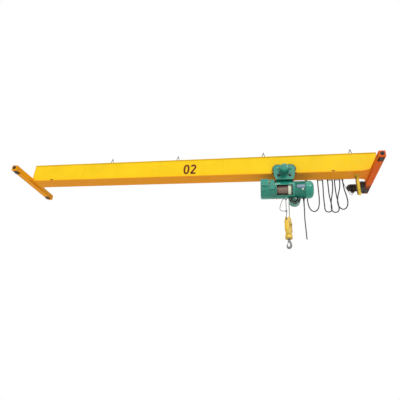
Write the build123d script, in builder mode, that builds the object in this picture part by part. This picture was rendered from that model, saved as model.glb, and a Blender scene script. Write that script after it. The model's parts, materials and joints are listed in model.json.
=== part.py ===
from build123d import *
import math
import os

# Single-girder overhead travelling crane with an underslung wire-rope hoist.
# Millimetres. X runs along the girder, Y from the viewed side to the far side, Z up.
# The origin is on the plane of the two rail heads, midway between the four wheels.

os.makedirs("parts", exist_ok=True)

# Runway and end carriages
span = 9000
carriage_width = 140
carriage_height = 140
carriage_length = 1776
carriage_wall = 8
wheel_end_reach = 138
tread_radius = 68
tread_width = 64
rim_radius = 77
rim_width = 10
wheel_drop = 20
wheel_window_gap = 8
axle_radius = 18
hub_radius = 40
seat_gap = 0.3
bearing_gap = 0.05
buffer_radius = 46
buffer_length = 28

# Girder
girder_left_inset = 10
girder_right_overhang = 112
gusset_size = 150
gusset_toe = 12
girder_drop = 50
girder_height = 535
top_flange_lip = 15
top_flange_thickness = 10
bottom_flange_width = 370
bottom_flange_thickness = 16
web_thickness = 8
bottom_flange_lip = 55
seat_thickness = 12

# Sides of the bent bars, cables and ropes
bar_sides = 8

# Lifting hoops on the top flange
hoop_shares = (-0.242, -0.034, 0.216, 0.449)
hoop_width = 90
hoop_height = 140
hoop_bar = 16
hoop_offset = 95

# Trolley end stops on the bottom flange
left_stop_inset = 650
right_stop_inset = 910
stop_length = 60
stop_height = 34
stop_gap = 17

# Toothed collector bar under the right end
collector_inset = 355
collector_width = 84
collector_thickness = 8
collector_length = 540
collector_tooth = 11
collector_teeth = 11
collector_foot = 96

# Travel drive at the far right wheel
drive_offset = 85
drive_rise = 10
gearbox_gap = 81
gearbox_radius = 92
gearbox_depth = 130
drive_motor_radius = 84
drive_motor_length = 230
drive_fin_height = 12
drive_fin_count = 10
drive_cowl_length = 48
drive_cowl_tip = 26

# Trolley
trolley_inset = 2057
trolley_wheel_radius = 100
trolley_rim_radius = 120
trolley_wheel_base = 300
trolley_tread_width = 50
trolley_rim_width = 14
trolley_web_gap = 10
plate_gap = 11
plate_thickness = 16
lobe_radius = 108
plate_half_width = 250
plate_bottom_half = 205
plate_bottom = -188
plate_valley = 150
pin_radius = 18
pin_spacing = 272
pin_drop = 74
pin_head_radius = 26
pin_head_length = 9
bumper_radius = 16
bumper_length = 45
bumper_drop = 20
trolley_motor_radius = 104
trolley_motor_length = 185
trolley_motor_round = 40
trolley_motor_rise = 38
trolley_gear_radius = 122
trolley_gear_depth = 30

# Hoist
hoist_drop = 390
hoist_radius = 213
casing_wall = 8
casing_shift = 5.5
casing_length = 405
casing_ring_radius = 220
casing_ring_width = 14
window_top_angle = 12
window_bottom_angle = -62
rope_slot_width = 100
rope_slot_depth = 130
hanger_inset = 7.5
hanger_top_rise = 38
hanger_thickness = 14
hanger_offset = 62
gear_length = 153
control_length = 210
control_step = 14
control_corner = 24
motor_body_length = 290
motor_cowl_length = 185
motor_cowl_round = 95
motor_flange_length = 30
motor_fin_count = 12
motor_fin_height = 12
limit_radius = 140
limit_depth = 150
limit_reach = 28
limit_drop = 252

# Drum, rope and guide
rope_diameter = 15
drum_radius = 132
drum_rim_radius = 166
drum_rim_width = 10
drum_shaft_radius = 40
drum_clearance = 6
rope_pitch = 16
rope_free_length = 45
guide_inner = 153
guide_outer = 176
guide_width = 70
guide_bar_radius = 7
guide_bar_place = 183
guide_reach = 82
anchor_size = 44
anchor_drop = 70
clip_drop = 970
clip_height = 30
clip_width = 36

# Hook block
fall_spacing_x = 78
hook_inset = 139
sheave_pitch_radius = 105
sheave_lip = 13
sheave_width = 36
sheave_axle_radius = 22
block_top_drop = 1086
sheave_drop = 190
block_height = 450
block_half_width = 128
block_top_half = 58
block_thickness = 90
block_cavity = 50
block_fillet = 18
block_shoulder = 130
block_neck_half = 58
block_neck_height = 110
collar_radius = 80
collar_height = 92

# Hook
shank_radius = 26
nut_rise = 50
nut_height = 34
nut_radius = 33
nut_clearance = 6
hook_section = 21
hook_bowl_radius = 56
hook_shank_length = 56
hook_curve_height = 108
hook_tip_rise = 34
hook_turn = -38

# Festoon track on the far side
festoon_gap = 69
track_start_inset = 740
track_end_inset = 540
arm_inset = 150
track_size = 40
track_wall = 3
track_slot = 16
track_rise = 100
arm_count = 5
arm_width = 50
arm_thickness = 12
arm_rise = 290
carrier_insets = (625, 387, 219)
carrier_length = 142
strand_half = 58
clamp_height = 34
clamp_width = 64
clamp_rise = 50
carrier_roller = 12
tow_reach = 560
end_clamp_inset = 90
end_clamp_length = 50

# Cables
festoon_diameter = 22
lead_diameter = 12
pendant_diameter = 22
tail_diameter = 9
gland_inset = 51
gland_radius = 20
gland_length = 66
sleeve_radius = 15
sleeve_length = 223

# Heights that follow from the sizes above
axle_z = tread_radius
carriage_bottom = wheel_drop
carriage_top = carriage_bottom + carriage_height
underside = carriage_bottom + girder_drop
wheel_base = carriage_length - 2 * wheel_end_reach
trolley_x = span / 2 - trolley_inset
casing_start = trolley_x - casing_length / 2 - casing_shift
casing_end = casing_start + casing_length
hook_x = casing_end - hook_inset
hanger_width = casing_length - 2 * hanger_inset
gear_end = casing_start - gear_length
control_end = gear_end - control_length
motor_body_end = casing_end + motor_body_length
motor_end = motor_body_end + motor_cowl_length
limit_x = casing_end + limit_reach
guide_x = casing_end - guide_reach
collector_x = span / 2 - collector_inset
track_start = -span / 2 + track_start_inset
track_end = span / 2 - track_end_inset
tow_x = trolley_x + tow_reach
end_clamp_x = track_end - end_clamp_inset
carrier_places = [track_end - inset for inset in carrier_insets]
girder_top = underside + girder_height
flange_top = underside + bottom_flange_thickness
girder_left = -span / 2 + girder_left_inset
girder_right = span / 2 + girder_right_overhang
carriage_inner = span / 2 - carriage_width / 2
web_outer = bottom_flange_width / 2 - bottom_flange_lip
web_clear_width = 2 * (web_outer - web_thickness)
top_flange_width = 2 * (web_outer + top_flange_lip)
stop_width = bottom_flange_lip - stop_gap
gusset_reach = gusset_size + gusset_toe
hoist_z = underside - hoist_drop
rope_radius = rope_diameter / 2
drum_rope_radius = drum_radius + rope_radius
fall_y = math.sqrt(sheave_pitch_radius**2 - (fall_spacing_x / 2) ** 2)
drum_y = fall_y - drum_rope_radius
fall_direction = Vector(fall_spacing_x / 2, fall_y, 0).normalized()
axle_direction = Vector(fall_direction.Y, -fall_direction.X, 0)
block_top = underside - block_top_drop
sheave_z = block_top - sheave_drop
block_bottom = block_top - block_height
collar_bottom = block_bottom - collar_height
fall_x = hook_x + fall_spacing_x / 2
anchor_x = hook_x - fall_spacing_x / 2
anchor_bottom = hoist_z - hoist_radius - anchor_drop
clip_z = underside - clip_drop


def cross_plane(x):
    """Plane across the girder at x: its local x is Y and its local y is Z."""
    return Plane(origin=(x, 0, 0), x_dir=(0, 1, 0), z_dir=(1, 0, 0))


def upright_plane(y):
    """Plane along the girder at y, seen from the front: its local x is X and its local y is Z."""
    return Plane(origin=(0, y, 0), x_dir=(1, 0, 0), z_dir=(0, -1, 0))


def cord_radii(points):
    """Bend radii for a cable route: each bend is as large as its two runs allow."""
    radii = []
    for before, corner, after in zip(points, points[1:], points[2:]):
        arriving = Vector(*corner) - Vector(*before)
        leaving = Vector(*after) - Vector(*corner)
        turn = math.radians(arriving.get_angle(leaving))
        radii.append(0.45 * min(arriving.length, leaving.length) / math.tan(turn / 2))
    return radii


def cord_lengths(points, radii):
    """Length of a route of straight runs joined by tangent arcs."""
    total = 0
    for first, second in zip(points, points[1:]):
        total += (Vector(*second) - Vector(*first)).length
    for before, corner, after, radius in zip(points, points[1:], points[2:], radii):
        arriving = Vector(*corner) - Vector(*before)
        leaving = Vector(*after) - Vector(*corner)
        turn = math.radians(arriving.get_angle(leaving))
        total += radius * turn - 2 * radius * math.tan(turn / 2)
    return total


# Girder: two webs, two flanges and the end plates

with BuildPart() as girder_top_flange:
    with Locations(((girder_left + girder_right) / 2, 0, girder_top - top_flange_thickness / 2)):
        Box(girder_right - girder_left, top_flange_width, top_flange_thickness)
girder_top_flange.part.label = "girder_top_flange"
export_step(girder_top_flange.part, "parts/girder_top_flange.step")

with BuildPart() as girder_bottom_flange:
    with Locations((0, 0, underside + bottom_flange_thickness / 2)):
        Box(2 * carriage_inner, bottom_flange_width, bottom_flange_thickness)
girder_bottom_flange.part.label = "girder_bottom_flange"
export_step(girder_bottom_flange.part, "parts/girder_bottom_flange.step")

# Round gussets beside the bottom flange, where it meets the carriages
with BuildPart() as girder_gussets:
    with BuildSketch(Plane.XY.offset(underside)):
        for end in (-1, 1):
            for sign in (-1, 1):
                plate_x = end * (carriage_inner - gusset_reach / 2)
                plate_y = sign * (bottom_flange_width + gusset_reach) / 2
                arc_x = end * (carriage_inner - gusset_reach)
                arc_y = sign * (bottom_flange_width / 2 + gusset_reach)
                with Locations((plate_x, plate_y)):
                    Rectangle(gusset_reach, gusset_reach)
                with Locations((arc_x, arc_y)):
                    Circle(gusset_size, mode=Mode.SUBTRACT)
    extrude(amount=bottom_flange_thickness)
girder_gussets.part.label = "girder_gussets"
export_step(girder_gussets.part, "parts/girder_gussets.step")

web_top = girder_top - top_flange_thickness
with BuildPart() as girder_webs:
    for sign in (-1, 1):
        with BuildSketch(upright_plane(sign * (web_clear_width + web_thickness) / 2)):
            with BuildLine():
                Polyline(
                    (girder_left, web_top),
                    (girder_left, carriage_top),
                    (-carriage_inner, carriage_top),
                    (-carriage_inner, flange_top),
                    (carriage_inner, flange_top),
                    (carriage_inner, carriage_top),
                    (girder_right, carriage_top),
                    (girder_right, web_top),
                    close=True,
                )
            make_face()
        extrude(amount=web_thickness / 2, both=True)
girder_webs.part.label = "girder_webs"
export_step(girder_webs.part, "parts/girder_webs.step")

with BuildPart() as girder_end_plates:
    for sign, reach in ((-1, -girder_left), (1, girder_right)):
        with Locations((sign * (reach - web_thickness / 2), 0, (carriage_top + web_top) / 2)):
            Box(web_thickness, web_clear_width, web_top - carriage_top)
        with Locations((sign * (reach + carriage_inner) / 2, 0, carriage_top + seat_thickness / 2)):
            Box(reach - carriage_inner, web_clear_width, seat_thickness)
girder_end_plates.part.label = "girder_end_plates"
export_step(girder_end_plates.part, "parts/girder_end_plates.step")

# Lifting hoops: bent bar on the top flange, towards the viewed side
with BuildPart() as lifting_hoops:
    for share in hoop_shares:
        hoop_x = share * span
        with BuildLine(upright_plane(-hoop_offset)) as hoop_line:
            Polyline(
                (hoop_x - hoop_width / 2, girder_top),
                (hoop_x, girder_top + hoop_height),
                (hoop_x + hoop_width / 2, girder_top),
            )
        with BuildSketch(Plane(origin=hoop_line.line @ 0, z_dir=hoop_line.line % 0)):
            RegularPolygon(hoop_bar / 2, bar_sides)
        sweep(path=hoop_line.line, transition=Transition.RIGHT)
    split(bisect_by=Plane.XY.offset(girder_top), keep=Keep.TOP)
lifting_hoops.part.label = "lifting_hoops"
export_step(lifting_hoops.part, "parts/lifting_hoops.step")

# End stops for the trolley wheels, on both runs of the bottom flange
with BuildPart() as end_stops:
    for stop_x in (-span / 2 + left_stop_inset, span / 2 - right_stop_inset):
        for sign in (-1, 1):
            stop_y = sign * (bottom_flange_width / 2 - stop_width / 2)
            with Locations((stop_x, stop_y, flange_top + stop_height / 2)):
                Box(stop_length, stop_width, stop_height)
end_stops.part.label = "end_stops"
export_step(end_stops.part, "parts/end_stops.step")

# End carriages: box section, open under the wheels, closed at the ends

wheel_window = 2 * rim_radius + 2 * wheel_window_gap
for side, sign in (("left", -1), ("right", 1)):
    rail_x = sign * span / 2
    middle_z = carriage_bottom + carriage_height / 2
    with BuildPart() as carriage:
        with BuildSketch(Plane.XZ):
            with Locations((rail_x, middle_z)):
                Rectangle(carriage_width, carriage_height)
                Rectangle(
                    carriage_width - 2 * carriage_wall,
                    carriage_height - 2 * carriage_wall,
                    mode=Mode.SUBTRACT,
                )
        extrude(amount=carriage_length / 2, both=True)
        for end in (-1, 1):
            with Locations((rail_x, end * (carriage_length - carriage_wall) / 2, middle_z)):
                Box(carriage_width, carriage_wall, carriage_height)
            with Locations((rail_x, end * wheel_base / 2, carriage_bottom + carriage_wall / 2)):
                Box(
                    carriage_width - 2 * carriage_wall,
                    wheel_window,
                    carriage_wall,
                    mode=Mode.SUBTRACT,
                )
            with Locations((rail_x, end * wheel_base / 2, axle_z)):
                Cylinder(
                    axle_radius + bearing_gap,
                    carriage_width,
                    rotation=(0, 90, 0),
                    mode=Mode.SUBTRACT,
                )
    carriage.part.label = f"end_carriage_{side}"
    export_step(carriage.part, f"parts/end_carriage_{side}.step")

    for place, end in (("front", -1), ("rear", 1)):
        wheel_y = end * wheel_base / 2
        half_tread = tread_width / 2
        half_rim = half_tread + rim_width
        half_axle = carriage_width / 2 - 1
        with BuildPart() as wheel:
            with BuildSketch(upright_plane(wheel_y)):
                with BuildLine():
                    Polyline(
                        (rail_x - half_axle, axle_z),
                        (rail_x - half_axle, axle_z + axle_radius),
                        (rail_x - half_rim, axle_z + axle_radius),
                        (rail_x - half_rim, axle_z + rim_radius),
                        (rail_x - half_tread, axle_z + rim_radius),
                        (rail_x - half_tread, axle_z + tread_radius),
                        (rail_x + half_tread, axle_z + tread_radius),
                        (rail_x + half_tread, axle_z + rim_radius),
                        (rail_x + half_rim, axle_z + rim_radius),
                        (rail_x + half_rim, axle_z + axle_radius),
                        (rail_x + half_axle, axle_z + axle_radius),
                        (rail_x + half_axle, axle_z),
                        close=True,
                    )
                make_face()
            revolve(axis=Axis((rail_x, wheel_y, axle_z), (1, 0, 0)))
        wheel.part.label = f"wheel_{side}_{place}"
        export_step(wheel.part, f"parts/wheel_{side}_{place}.step")

# Rubber buffers at the four carriage ends
with BuildPart() as buffers:
    for rail_x in (-span / 2, span / 2):
        for end in (-1, 1):
            buffer_y = end * (carriage_length + buffer_length) / 2
            with Locations((rail_x, buffer_y, carriage_bottom + carriage_height / 2)):
                Cylinder(buffer_radius, buffer_length, rotation=(90, 0, 0))
buffers.part.label = "buffers"
export_step(buffers.part, "parts/buffers.step")

# Travel drive at the far right wheel: gearbox on the carriage and a finned motor

drive_y = wheel_base / 2 - drive_offset
drive_z = axle_z + drive_rise
gearbox_far_y = bottom_flange_width / 2 + gusset_reach + gearbox_gap + gearbox_radius
gearbox_start = carriage_inner - gearbox_depth
with BuildPart() as travel_gearbox:
    with BuildSketch(cross_plane(gearbox_start)):
        with Locations((wheel_base / 2, axle_z)):
            Circle(gearbox_radius)
        with Locations((gearbox_far_y, drive_z)):
            Circle(gearbox_radius)
        with BuildLine():
            Polyline(
                (wheel_base / 2, axle_z - gearbox_radius),
                (wheel_base / 2, axle_z + gearbox_radius),
                (gearbox_far_y, drive_z + gearbox_radius),
                (gearbox_far_y, drive_z - gearbox_radius),
                close=True,
            )
        make_face()
    extrude(amount=gearbox_depth)
    with BuildSketch(cross_plane(carriage_inner)):
        with Locations((wheel_base / 2, axle_z)):
            Circle(axle_radius + 6)
    extrude(amount=-12, mode=Mode.SUBTRACT)
    chamfer(travel_gearbox.faces().sort_by(Axis.X)[0].outer_wire().edges(), 10)
travel_gearbox.part.label = "travel_gearbox"
export_step(travel_gearbox.part, "parts/travel_gearbox.step")

motor_start = gearbox_start - drive_motor_length
lead_box_x = motor_start + 90
lead_box_bottom = drive_z - drive_motor_radius - 40
cowl_start = motor_start - drive_cowl_length
with BuildPart() as travel_motor:
    with BuildSketch(upright_plane(drive_y)):
        with BuildLine():
            Polyline(
                (cowl_start, drive_z),
                (cowl_start, drive_z + drive_cowl_tip),
                (motor_start, drive_z + drive_motor_radius),
                (gearbox_start - 24, drive_z + drive_motor_radius),
                (gearbox_start - 24, drive_z + drive_motor_radius + 8),
                (gearbox_start, drive_z + drive_motor_radius + 8),
                (gearbox_start, drive_z),
                close=True,
            )
        make_face()
    revolve(axis=Axis((0, drive_y, drive_z), (1, 0, 0)))
    fin_length = drive_motor_length - 70
    with BuildSketch(cross_plane(motor_start + 30)):
        with Locations((drive_y, drive_z)):
            with PolarLocations(drive_motor_radius + drive_fin_height / 2 - 1, drive_fin_count):
                Rectangle(drive_fin_height + 2, 5)
    extrude(amount=fin_length)
    with BuildSketch(Plane.XY.offset(lead_box_bottom)):
        with Locations((lead_box_x, drive_y)):
            RectangleRounded(80, 60, 8)
    extrude(amount=drive_z - lead_box_bottom)
travel_motor.part.label = "travel_motor"
export_step(travel_motor.part, "parts/travel_motor.step")

# Collector bar: toothed strip hanging from the underside of the girder
with BuildPart() as collector_bar:
    with BuildSketch(upright_plane(0)):
        with Locations((collector_x, underside - collector_length / 2)):
            Rectangle(collector_width, collector_length)
        tooth_pitch = collector_length / (collector_teeth + 1)
        for index in range(collector_teeth):
            notch_z = underside - tooth_pitch * (index + 1)
            for edge in (-1, 1):
                with Locations((collector_x + edge * collector_width / 2, notch_z)):
                    Rectangle(
                        2 * collector_tooth,
                        tooth_pitch / 2,
                        mode=Mode.SUBTRACT,
                    )
    extrude(amount=collector_thickness / 2, both=True)
    with Locations((collector_x, 0, underside - collector_thickness / 2)):
        Box(collector_foot, collector_foot, collector_thickness)
collector_bar.part.label = "collector_bar"
export_step(collector_bar.part, "parts/collector_bar.step")

# Trolley: two side plates, four wheels, two hanger pins and the drive

trolley_axle_z = flange_top + trolley_wheel_radius + seat_gap
wheel_inner = web_outer + trolley_web_gap
rim_inner = wheel_inner + trolley_tread_width
rim_outer = rim_inner + trolley_rim_width
plate_inner = rim_outer + plate_gap
plate_outer = plate_inner + plate_thickness
festoon_y = plate_outer + festoon_gap
pin_z = underside - pin_drop
bumper_z = underside - bumper_drop

with BuildPart() as trolley_plates:
    for sign in (-1, 1):
        with BuildSketch(upright_plane(sign * (plate_inner + plate_outer) / 2)):
            with BuildLine():
                Polyline(
                    (trolley_x - plate_bottom_half, underside + plate_bottom),
                    (trolley_x - plate_half_width, bumper_z - 2 * bumper_radius),
                    (trolley_x - plate_half_width, trolley_axle_z),
                    (trolley_x - trolley_wheel_base / 2, trolley_axle_z),
                    (trolley_x, underside + plate_valley),
                    (trolley_x + trolley_wheel_base / 2, trolley_axle_z),
                    (trolley_x + plate_half_width, trolley_axle_z),
                    (trolley_x + plate_half_width, bumper_z - 2 * bumper_radius),
                    (trolley_x + plate_bottom_half, underside + plate_bottom),
                    close=True,
                )
            make_face()
            for end in (-1, 1):
                with Locations((trolley_x + end * trolley_wheel_base / 2, trolley_axle_z)):
                    Circle(lobe_radius)
        extrude(amount=plate_thickness / 2, both=True)
    for sign in (-1, 1):
        for end in (-1, 1):
            wheel_x = trolley_x + end * trolley_wheel_base / 2
            with Locations((wheel_x, sign * (plate_inner + plate_outer) / 2, trolley_axle_z)):
                Cylinder(
                    axle_radius + bearing_gap,
                    plate_thickness,
                    rotation=(90, 0, 0),
                    mode=Mode.SUBTRACT,
                )
            pin_x = trolley_x + end * pin_spacing / 2
            with Locations((pin_x, sign * (plate_inner + plate_outer) / 2, pin_z)):
                Cylinder(
                    pin_radius + seat_gap,
                    plate_thickness,
                    rotation=(90, 0, 0),
                    mode=Mode.SUBTRACT,
                )
trolley_plates.part.label = "trolley_plates"
export_step(trolley_plates.part, "parts/trolley_plates.step")

with BuildPart() as trolley_bumpers:
    for sign in (-1, 1):
        for end in (-1, 1):
            bumper_x = trolley_x + end * (plate_half_width + bumper_length / 2)
            with Locations((bumper_x, sign * (plate_inner + plate_outer) / 2, bumper_z)):
                Cylinder(bumper_radius, bumper_length, rotation=(0, 90, 0))
trolley_bumpers.part.label = "trolley_bumpers"
export_step(trolley_bumpers.part, "parts/trolley_bumpers.step")

for side, sign in (("front", -1), ("rear", 1)):
    for place, end in (("left", -1), ("right", 1)):
        wheel_x = trolley_x + end * trolley_wheel_base / 2
        hub_face = sign * (plate_inner - seat_gap)
        axle_face = sign * (plate_outer - 1)
        with BuildPart() as trolley_wheel:
            with BuildSketch(cross_plane(wheel_x)):
                with BuildLine():
                    Polyline(
                        (sign * wheel_inner, trolley_axle_z),
                        (sign * wheel_inner, trolley_axle_z + trolley_wheel_radius),
                        (sign * rim_inner, trolley_axle_z + trolley_wheel_radius),
                        (sign * rim_inner, trolley_axle_z + trolley_rim_radius),
                        (sign * rim_outer, trolley_axle_z + trolley_rim_radius),
                        (sign * rim_outer, trolley_axle_z + hub_radius),
                        (hub_face, trolley_axle_z + hub_radius),
                        (hub_face, trolley_axle_z + axle_radius),
                        (axle_face, trolley_axle_z + axle_radius),
                        (axle_face, trolley_axle_z),
                        close=True,
                    )
                make_face()
            revolve(axis=Axis((wheel_x, 0, trolley_axle_z), (0, 1, 0)))
        trolley_wheel.part.label = f"trolley_wheel_{side}_{place}"
        export_step(trolley_wheel.part, f"parts/trolley_wheel_{side}_{place}.step")

with BuildPart() as hanger_pins:
    for end in (-1, 1):
        with Locations((trolley_x + end * pin_spacing / 2, 0, pin_z)):
            Cylinder(pin_radius, 2 * (plate_outer + pin_head_length), rotation=(90, 0, 0))
        for sign in (-1, 1):
            head_y = sign * (plate_outer + pin_head_length / 2)
            with Locations((trolley_x + end * pin_spacing / 2, head_y, pin_z)):
                Cylinder(pin_head_radius, pin_head_length, rotation=(90, 0, 0))
hanger_pins.part.label = "hanger_pins"
export_step(hanger_pins.part, "parts/hanger_pins.step")

trolley_motor_z = underside + trolley_motor_rise
gear_front = -plate_outer - trolley_gear_depth
with BuildPart() as trolley_motor:
    with BuildSketch(upright_plane(-plate_outer)):
        with Locations((trolley_x, trolley_motor_z)):
            Circle(trolley_gear_radius)
    extrude(amount=trolley_gear_depth)
    with BuildSketch(upright_plane(gear_front)):
        with Locations((trolley_x, trolley_motor_z)):
            Circle(trolley_motor_radius)
    extrude(amount=trolley_motor_length)
    fillet(trolley_motor.faces().sort_by(Axis.Y)[0].edges(), trolley_motor_round)
trolley_motor.part.label = "trolley_motor"
export_step(trolley_motor.part, "parts/trolley_motor.step")

# Hoist casing: a tube with a front window over the drum, a rope slot and two hanger plates

casing_middle = (casing_start + casing_end) / 2
hanger_top = pin_z + hanger_top_rise
with BuildPart() as drum_casing:
    with BuildSketch(cross_plane(casing_start)):
        with Locations((drum_y, hoist_z)):
            Circle(hoist_radius)
    extrude(amount=casing_length)
    for ring_x in (casing_start, casing_end - casing_ring_width):
        with BuildSketch(cross_plane(ring_x)):
            with Locations((drum_y, hoist_z)):
                Circle(casing_ring_radius)
        extrude(amount=casing_ring_width)
    for offset_y in (-hanger_offset, hanger_offset):
        with Locations((trolley_x, drum_y + offset_y, (hanger_top + hoist_z) / 2)):
            Box(hanger_width, hanger_thickness, hanger_top - hoist_z)
    with BuildSketch(cross_plane(casing_start)):
        with Locations((drum_y, hoist_z)):
            Circle(hoist_radius - casing_wall)
    extrude(amount=casing_length, mode=Mode.SUBTRACT)
    for end in (-1, 1):
        with Locations((trolley_x + end * pin_spacing / 2, 0, pin_z)):
            Cylinder(
                pin_radius + seat_gap,
                2 * plate_inner,
                rotation=(90, 0, 0),
                mode=Mode.SUBTRACT,
            )
    window_reach = 2 * hoist_radius
    top_angle = math.radians(180 - window_top_angle)
    bottom_angle = math.radians(180 - window_bottom_angle)
    with BuildSketch(cross_plane(casing_start + casing_ring_width)):
        with BuildLine():
            Polyline(
                (drum_y, hoist_z),
                (
                    drum_y + window_reach * math.cos(top_angle),
                    hoist_z + window_reach * math.sin(top_angle),
                ),
                (
                    drum_y + window_reach * math.cos(bottom_angle),
                    hoist_z + window_reach * math.sin(bottom_angle),
                ),
                close=True,
            )
        make_face()
    extrude(amount=casing_length - 2 * casing_ring_width, mode=Mode.SUBTRACT)
    with Locations((fall_x, fall_y, hoist_z - hoist_radius / 2)):
        Box(rope_slot_width, rope_slot_depth, hoist_radius, mode=Mode.SUBTRACT)
    with Locations((casing_middle, drum_y + guide_bar_place, hoist_z)):
        Cylinder(guide_bar_radius, casing_length, rotation=(0, 90, 0))
    with BuildSketch(Plane.XY.offset(anchor_bottom)):
        with Locations((anchor_x, -fall_y)):
            RectangleRounded(anchor_size, anchor_size, 6)
    extrude(until=Until.NEXT)
drum_casing.part.label = "drum_casing"
export_step(drum_casing.part, "parts/drum_casing.step")

# Gear housing with the control cover and box at the left end of the hoist
with BuildPart() as gear_housing:
    with BuildSketch(cross_plane(gear_end)):
        with Locations((drum_y, hoist_z)):
            Circle(hoist_radius - 4)
    extrude(amount=gear_length)
    with BuildSketch(cross_plane(casing_start)):
        with Locations((drum_y, hoist_z)):
            Circle(drum_shaft_radius + bearing_gap)
    extrude(amount=-30, mode=Mode.SUBTRACT)
    with BuildSketch(cross_plane(control_end)):
        with Locations((drum_y, hoist_z)):
            Circle(hoist_radius)
    extrude(amount=control_length)
    chamfer(gear_housing.faces().sort_by(Axis.X)[0].edges(), 16)
    with BuildSketch(upright_plane(drum_y - hoist_radius - control_step)):
        with Locations((control_end + control_length / 2 - 4, hoist_z + hoist_radius / 2)):
            RectangleRounded(control_length - 8, hoist_radius - 20, control_corner)
    extrude(amount=-(hoist_radius + control_step))
gear_housing.part.label = "gear_housing"
export_step(gear_housing.part, "parts/gear_housing.step")

# Hoist motor: finned body and a domed end cowl
with BuildPart() as hoist_motor:
    with BuildSketch(cross_plane(casing_end)):
        with Locations((drum_y, hoist_z)):
            Circle(hoist_radius - motor_fin_height)
    extrude(amount=motor_body_length)
    with BuildSketch(cross_plane(casing_end)):
        with Locations((drum_y, hoist_z)):
            Circle(hoist_radius)
    extrude(amount=motor_flange_length)
    with BuildSketch(cross_plane(casing_end + motor_flange_length)):
        with Locations((drum_y, hoist_z)):
            with PolarLocations(hoist_radius - motor_fin_height / 2 - 1, motor_fin_count):
                Rectangle(motor_fin_height + 2, 9)
    extrude(amount=motor_body_length - motor_flange_length)
    with BuildSketch(cross_plane(casing_end)):
        with Locations((drum_y, hoist_z)):
            Circle(drum_shaft_radius + bearing_gap)
    extrude(amount=30, mode=Mode.SUBTRACT)
    with BuildSketch(cross_plane(motor_body_end)):
        with Locations((drum_y, hoist_z)):
            Circle(hoist_radius)
    extrude(amount=motor_cowl_length)
    fillet(hoist_motor.faces().sort_by(Axis.X)[-1].edges(), motor_cowl_round)
hoist_motor.part.label = "hoist_motor"
export_step(hoist_motor.part, "parts/hoist_motor.step")

# Round limit-switch housing below the joint of casing and motor
with BuildPart() as limit_housing:
    with Locations((limit_x, 0, hoist_z - limit_drop)):
        Cylinder(limit_radius, limit_depth, rotation=(90, 0, 0))
    with Locations((limit_x, drum_y, hoist_z)):
        Cylinder(
            casing_ring_radius + seat_gap,
            4 * limit_radius,
            rotation=(0, 90, 0),
            mode=Mode.SUBTRACT,
        )
limit_housing.part.label = "limit_housing"
export_step(limit_housing.part, "parts/limit_housing.step")

# Drum with its rope windings

drum_left = casing_start + drum_clearance
drum_right = casing_end - drum_clearance
rope_length = drum_right - drum_left - 2 * drum_rim_width - rope_free_length
rope_turns = int(rope_length / rope_pitch)
with BuildPart() as rope_drum:
    with BuildSketch(upright_plane(drum_y)):
        with BuildLine():
            Polyline(
                (casing_start - 24, hoist_z),
                (casing_start - 24, hoist_z + drum_shaft_radius),
                (drum_left, hoist_z + drum_shaft_radius),
                (drum_left, hoist_z + drum_rim_radius),
                (drum_left + drum_rim_width, hoist_z + drum_rim_radius),
                (drum_left + drum_rim_width, hoist_z + drum_radius),
                (drum_right - drum_rim_width, hoist_z + drum_radius),
                (drum_right - drum_rim_width, hoist_z + drum_rim_radius),
                (drum_right, hoist_z + drum_rim_radius),
                (drum_right, hoist_z + drum_shaft_radius),
                (casing_end + 24, hoist_z + drum_shaft_radius),
                (casing_end + 24, hoist_z),
                close=True,
            )
        make_face()
    revolve(axis=Axis((0, drum_y, hoist_z), (1, 0, 0)))
rope_drum.part.label = "rope_drum"
export_step(rope_drum.part, "parts/rope_drum.step")

winding_start = drum_left + drum_rim_width + 2
with BuildPart() as rope_windings:
    with BuildSketch(cross_plane(winding_start)):
        with Locations((drum_y, hoist_z)):
            Circle(drum_radius + rope_diameter)
            Circle(drum_radius + seat_gap, mode=Mode.SUBTRACT)
    extrude(amount=rope_pitch * rope_turns)
rope_windings.part.label = "rope_windings"
export_step(rope_windings.part, "parts/rope_windings.step")

# Rope guide: ring round the windings, carried on a bar behind the drum
nozzle_top = hoist_z - guide_inner / 2
nozzle_bottom = hoist_z - guide_outer + 30
with BuildPart() as rope_guide:
    with BuildSketch(cross_plane(guide_x - guide_width / 2)):
        with Locations((drum_y, hoist_z)):
            Circle(guide_outer)
        with Locations((drum_y + guide_bar_place, hoist_z)):
            Circle(guide_bar_radius + 5)
        with Locations((drum_y, hoist_z)):
            Circle(guide_inner, mode=Mode.SUBTRACT)
        with Locations((drum_y + guide_bar_place, hoist_z)):
            Circle(guide_bar_radius + seat_gap, mode=Mode.SUBTRACT)
    extrude(amount=guide_width)
    with Locations((fall_x, fall_y, (nozzle_top + nozzle_bottom) / 2)):
        Box(2 * rope_diameter, 2 * rope_diameter, nozzle_top - nozzle_bottom)
    with Locations((guide_x, drum_y, hoist_z)):
        Cylinder(guide_inner, guide_width, rotation=(0, 90, 0), mode=Mode.SUBTRACT)
rope_guide.part.label = "rope_guide"
export_step(rope_guide.part, "parts/rope_guide.step")

# The two rope falls, and the clip on the anchored one
for name, x, y, top in (
    ("rope_fall_hoisting", fall_x, fall_y, nozzle_bottom),
    ("rope_fall_anchored", anchor_x, -fall_y, anchor_bottom),
):
    with BuildPart() as rope_fall:
        with BuildSketch(Plane.XY.offset(sheave_z)):
            with Locations((x, y)):
                Circle(rope_radius)
        extrude(amount=top - sheave_z)
    rope_fall.part.label = name
    export_step(rope_fall.part, f"parts/{name}.step")

with BuildPart() as rope_clip:
    with BuildSketch(Plane.XY.offset(clip_z - clip_height / 2)):
        with Locations((anchor_x, -fall_y)):
            RectangleRounded(clip_width, clip_width, 6)
            Circle(rope_radius + seat_gap, mode=Mode.SUBTRACT)
    extrude(amount=clip_height)
rope_clip.part.label = "rope_clip"
export_step(rope_clip.part, "parts/rope_clip.step")

# Hook block: shell with a slot for the sheave, turned so that the falls run to the drum's far side

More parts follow.
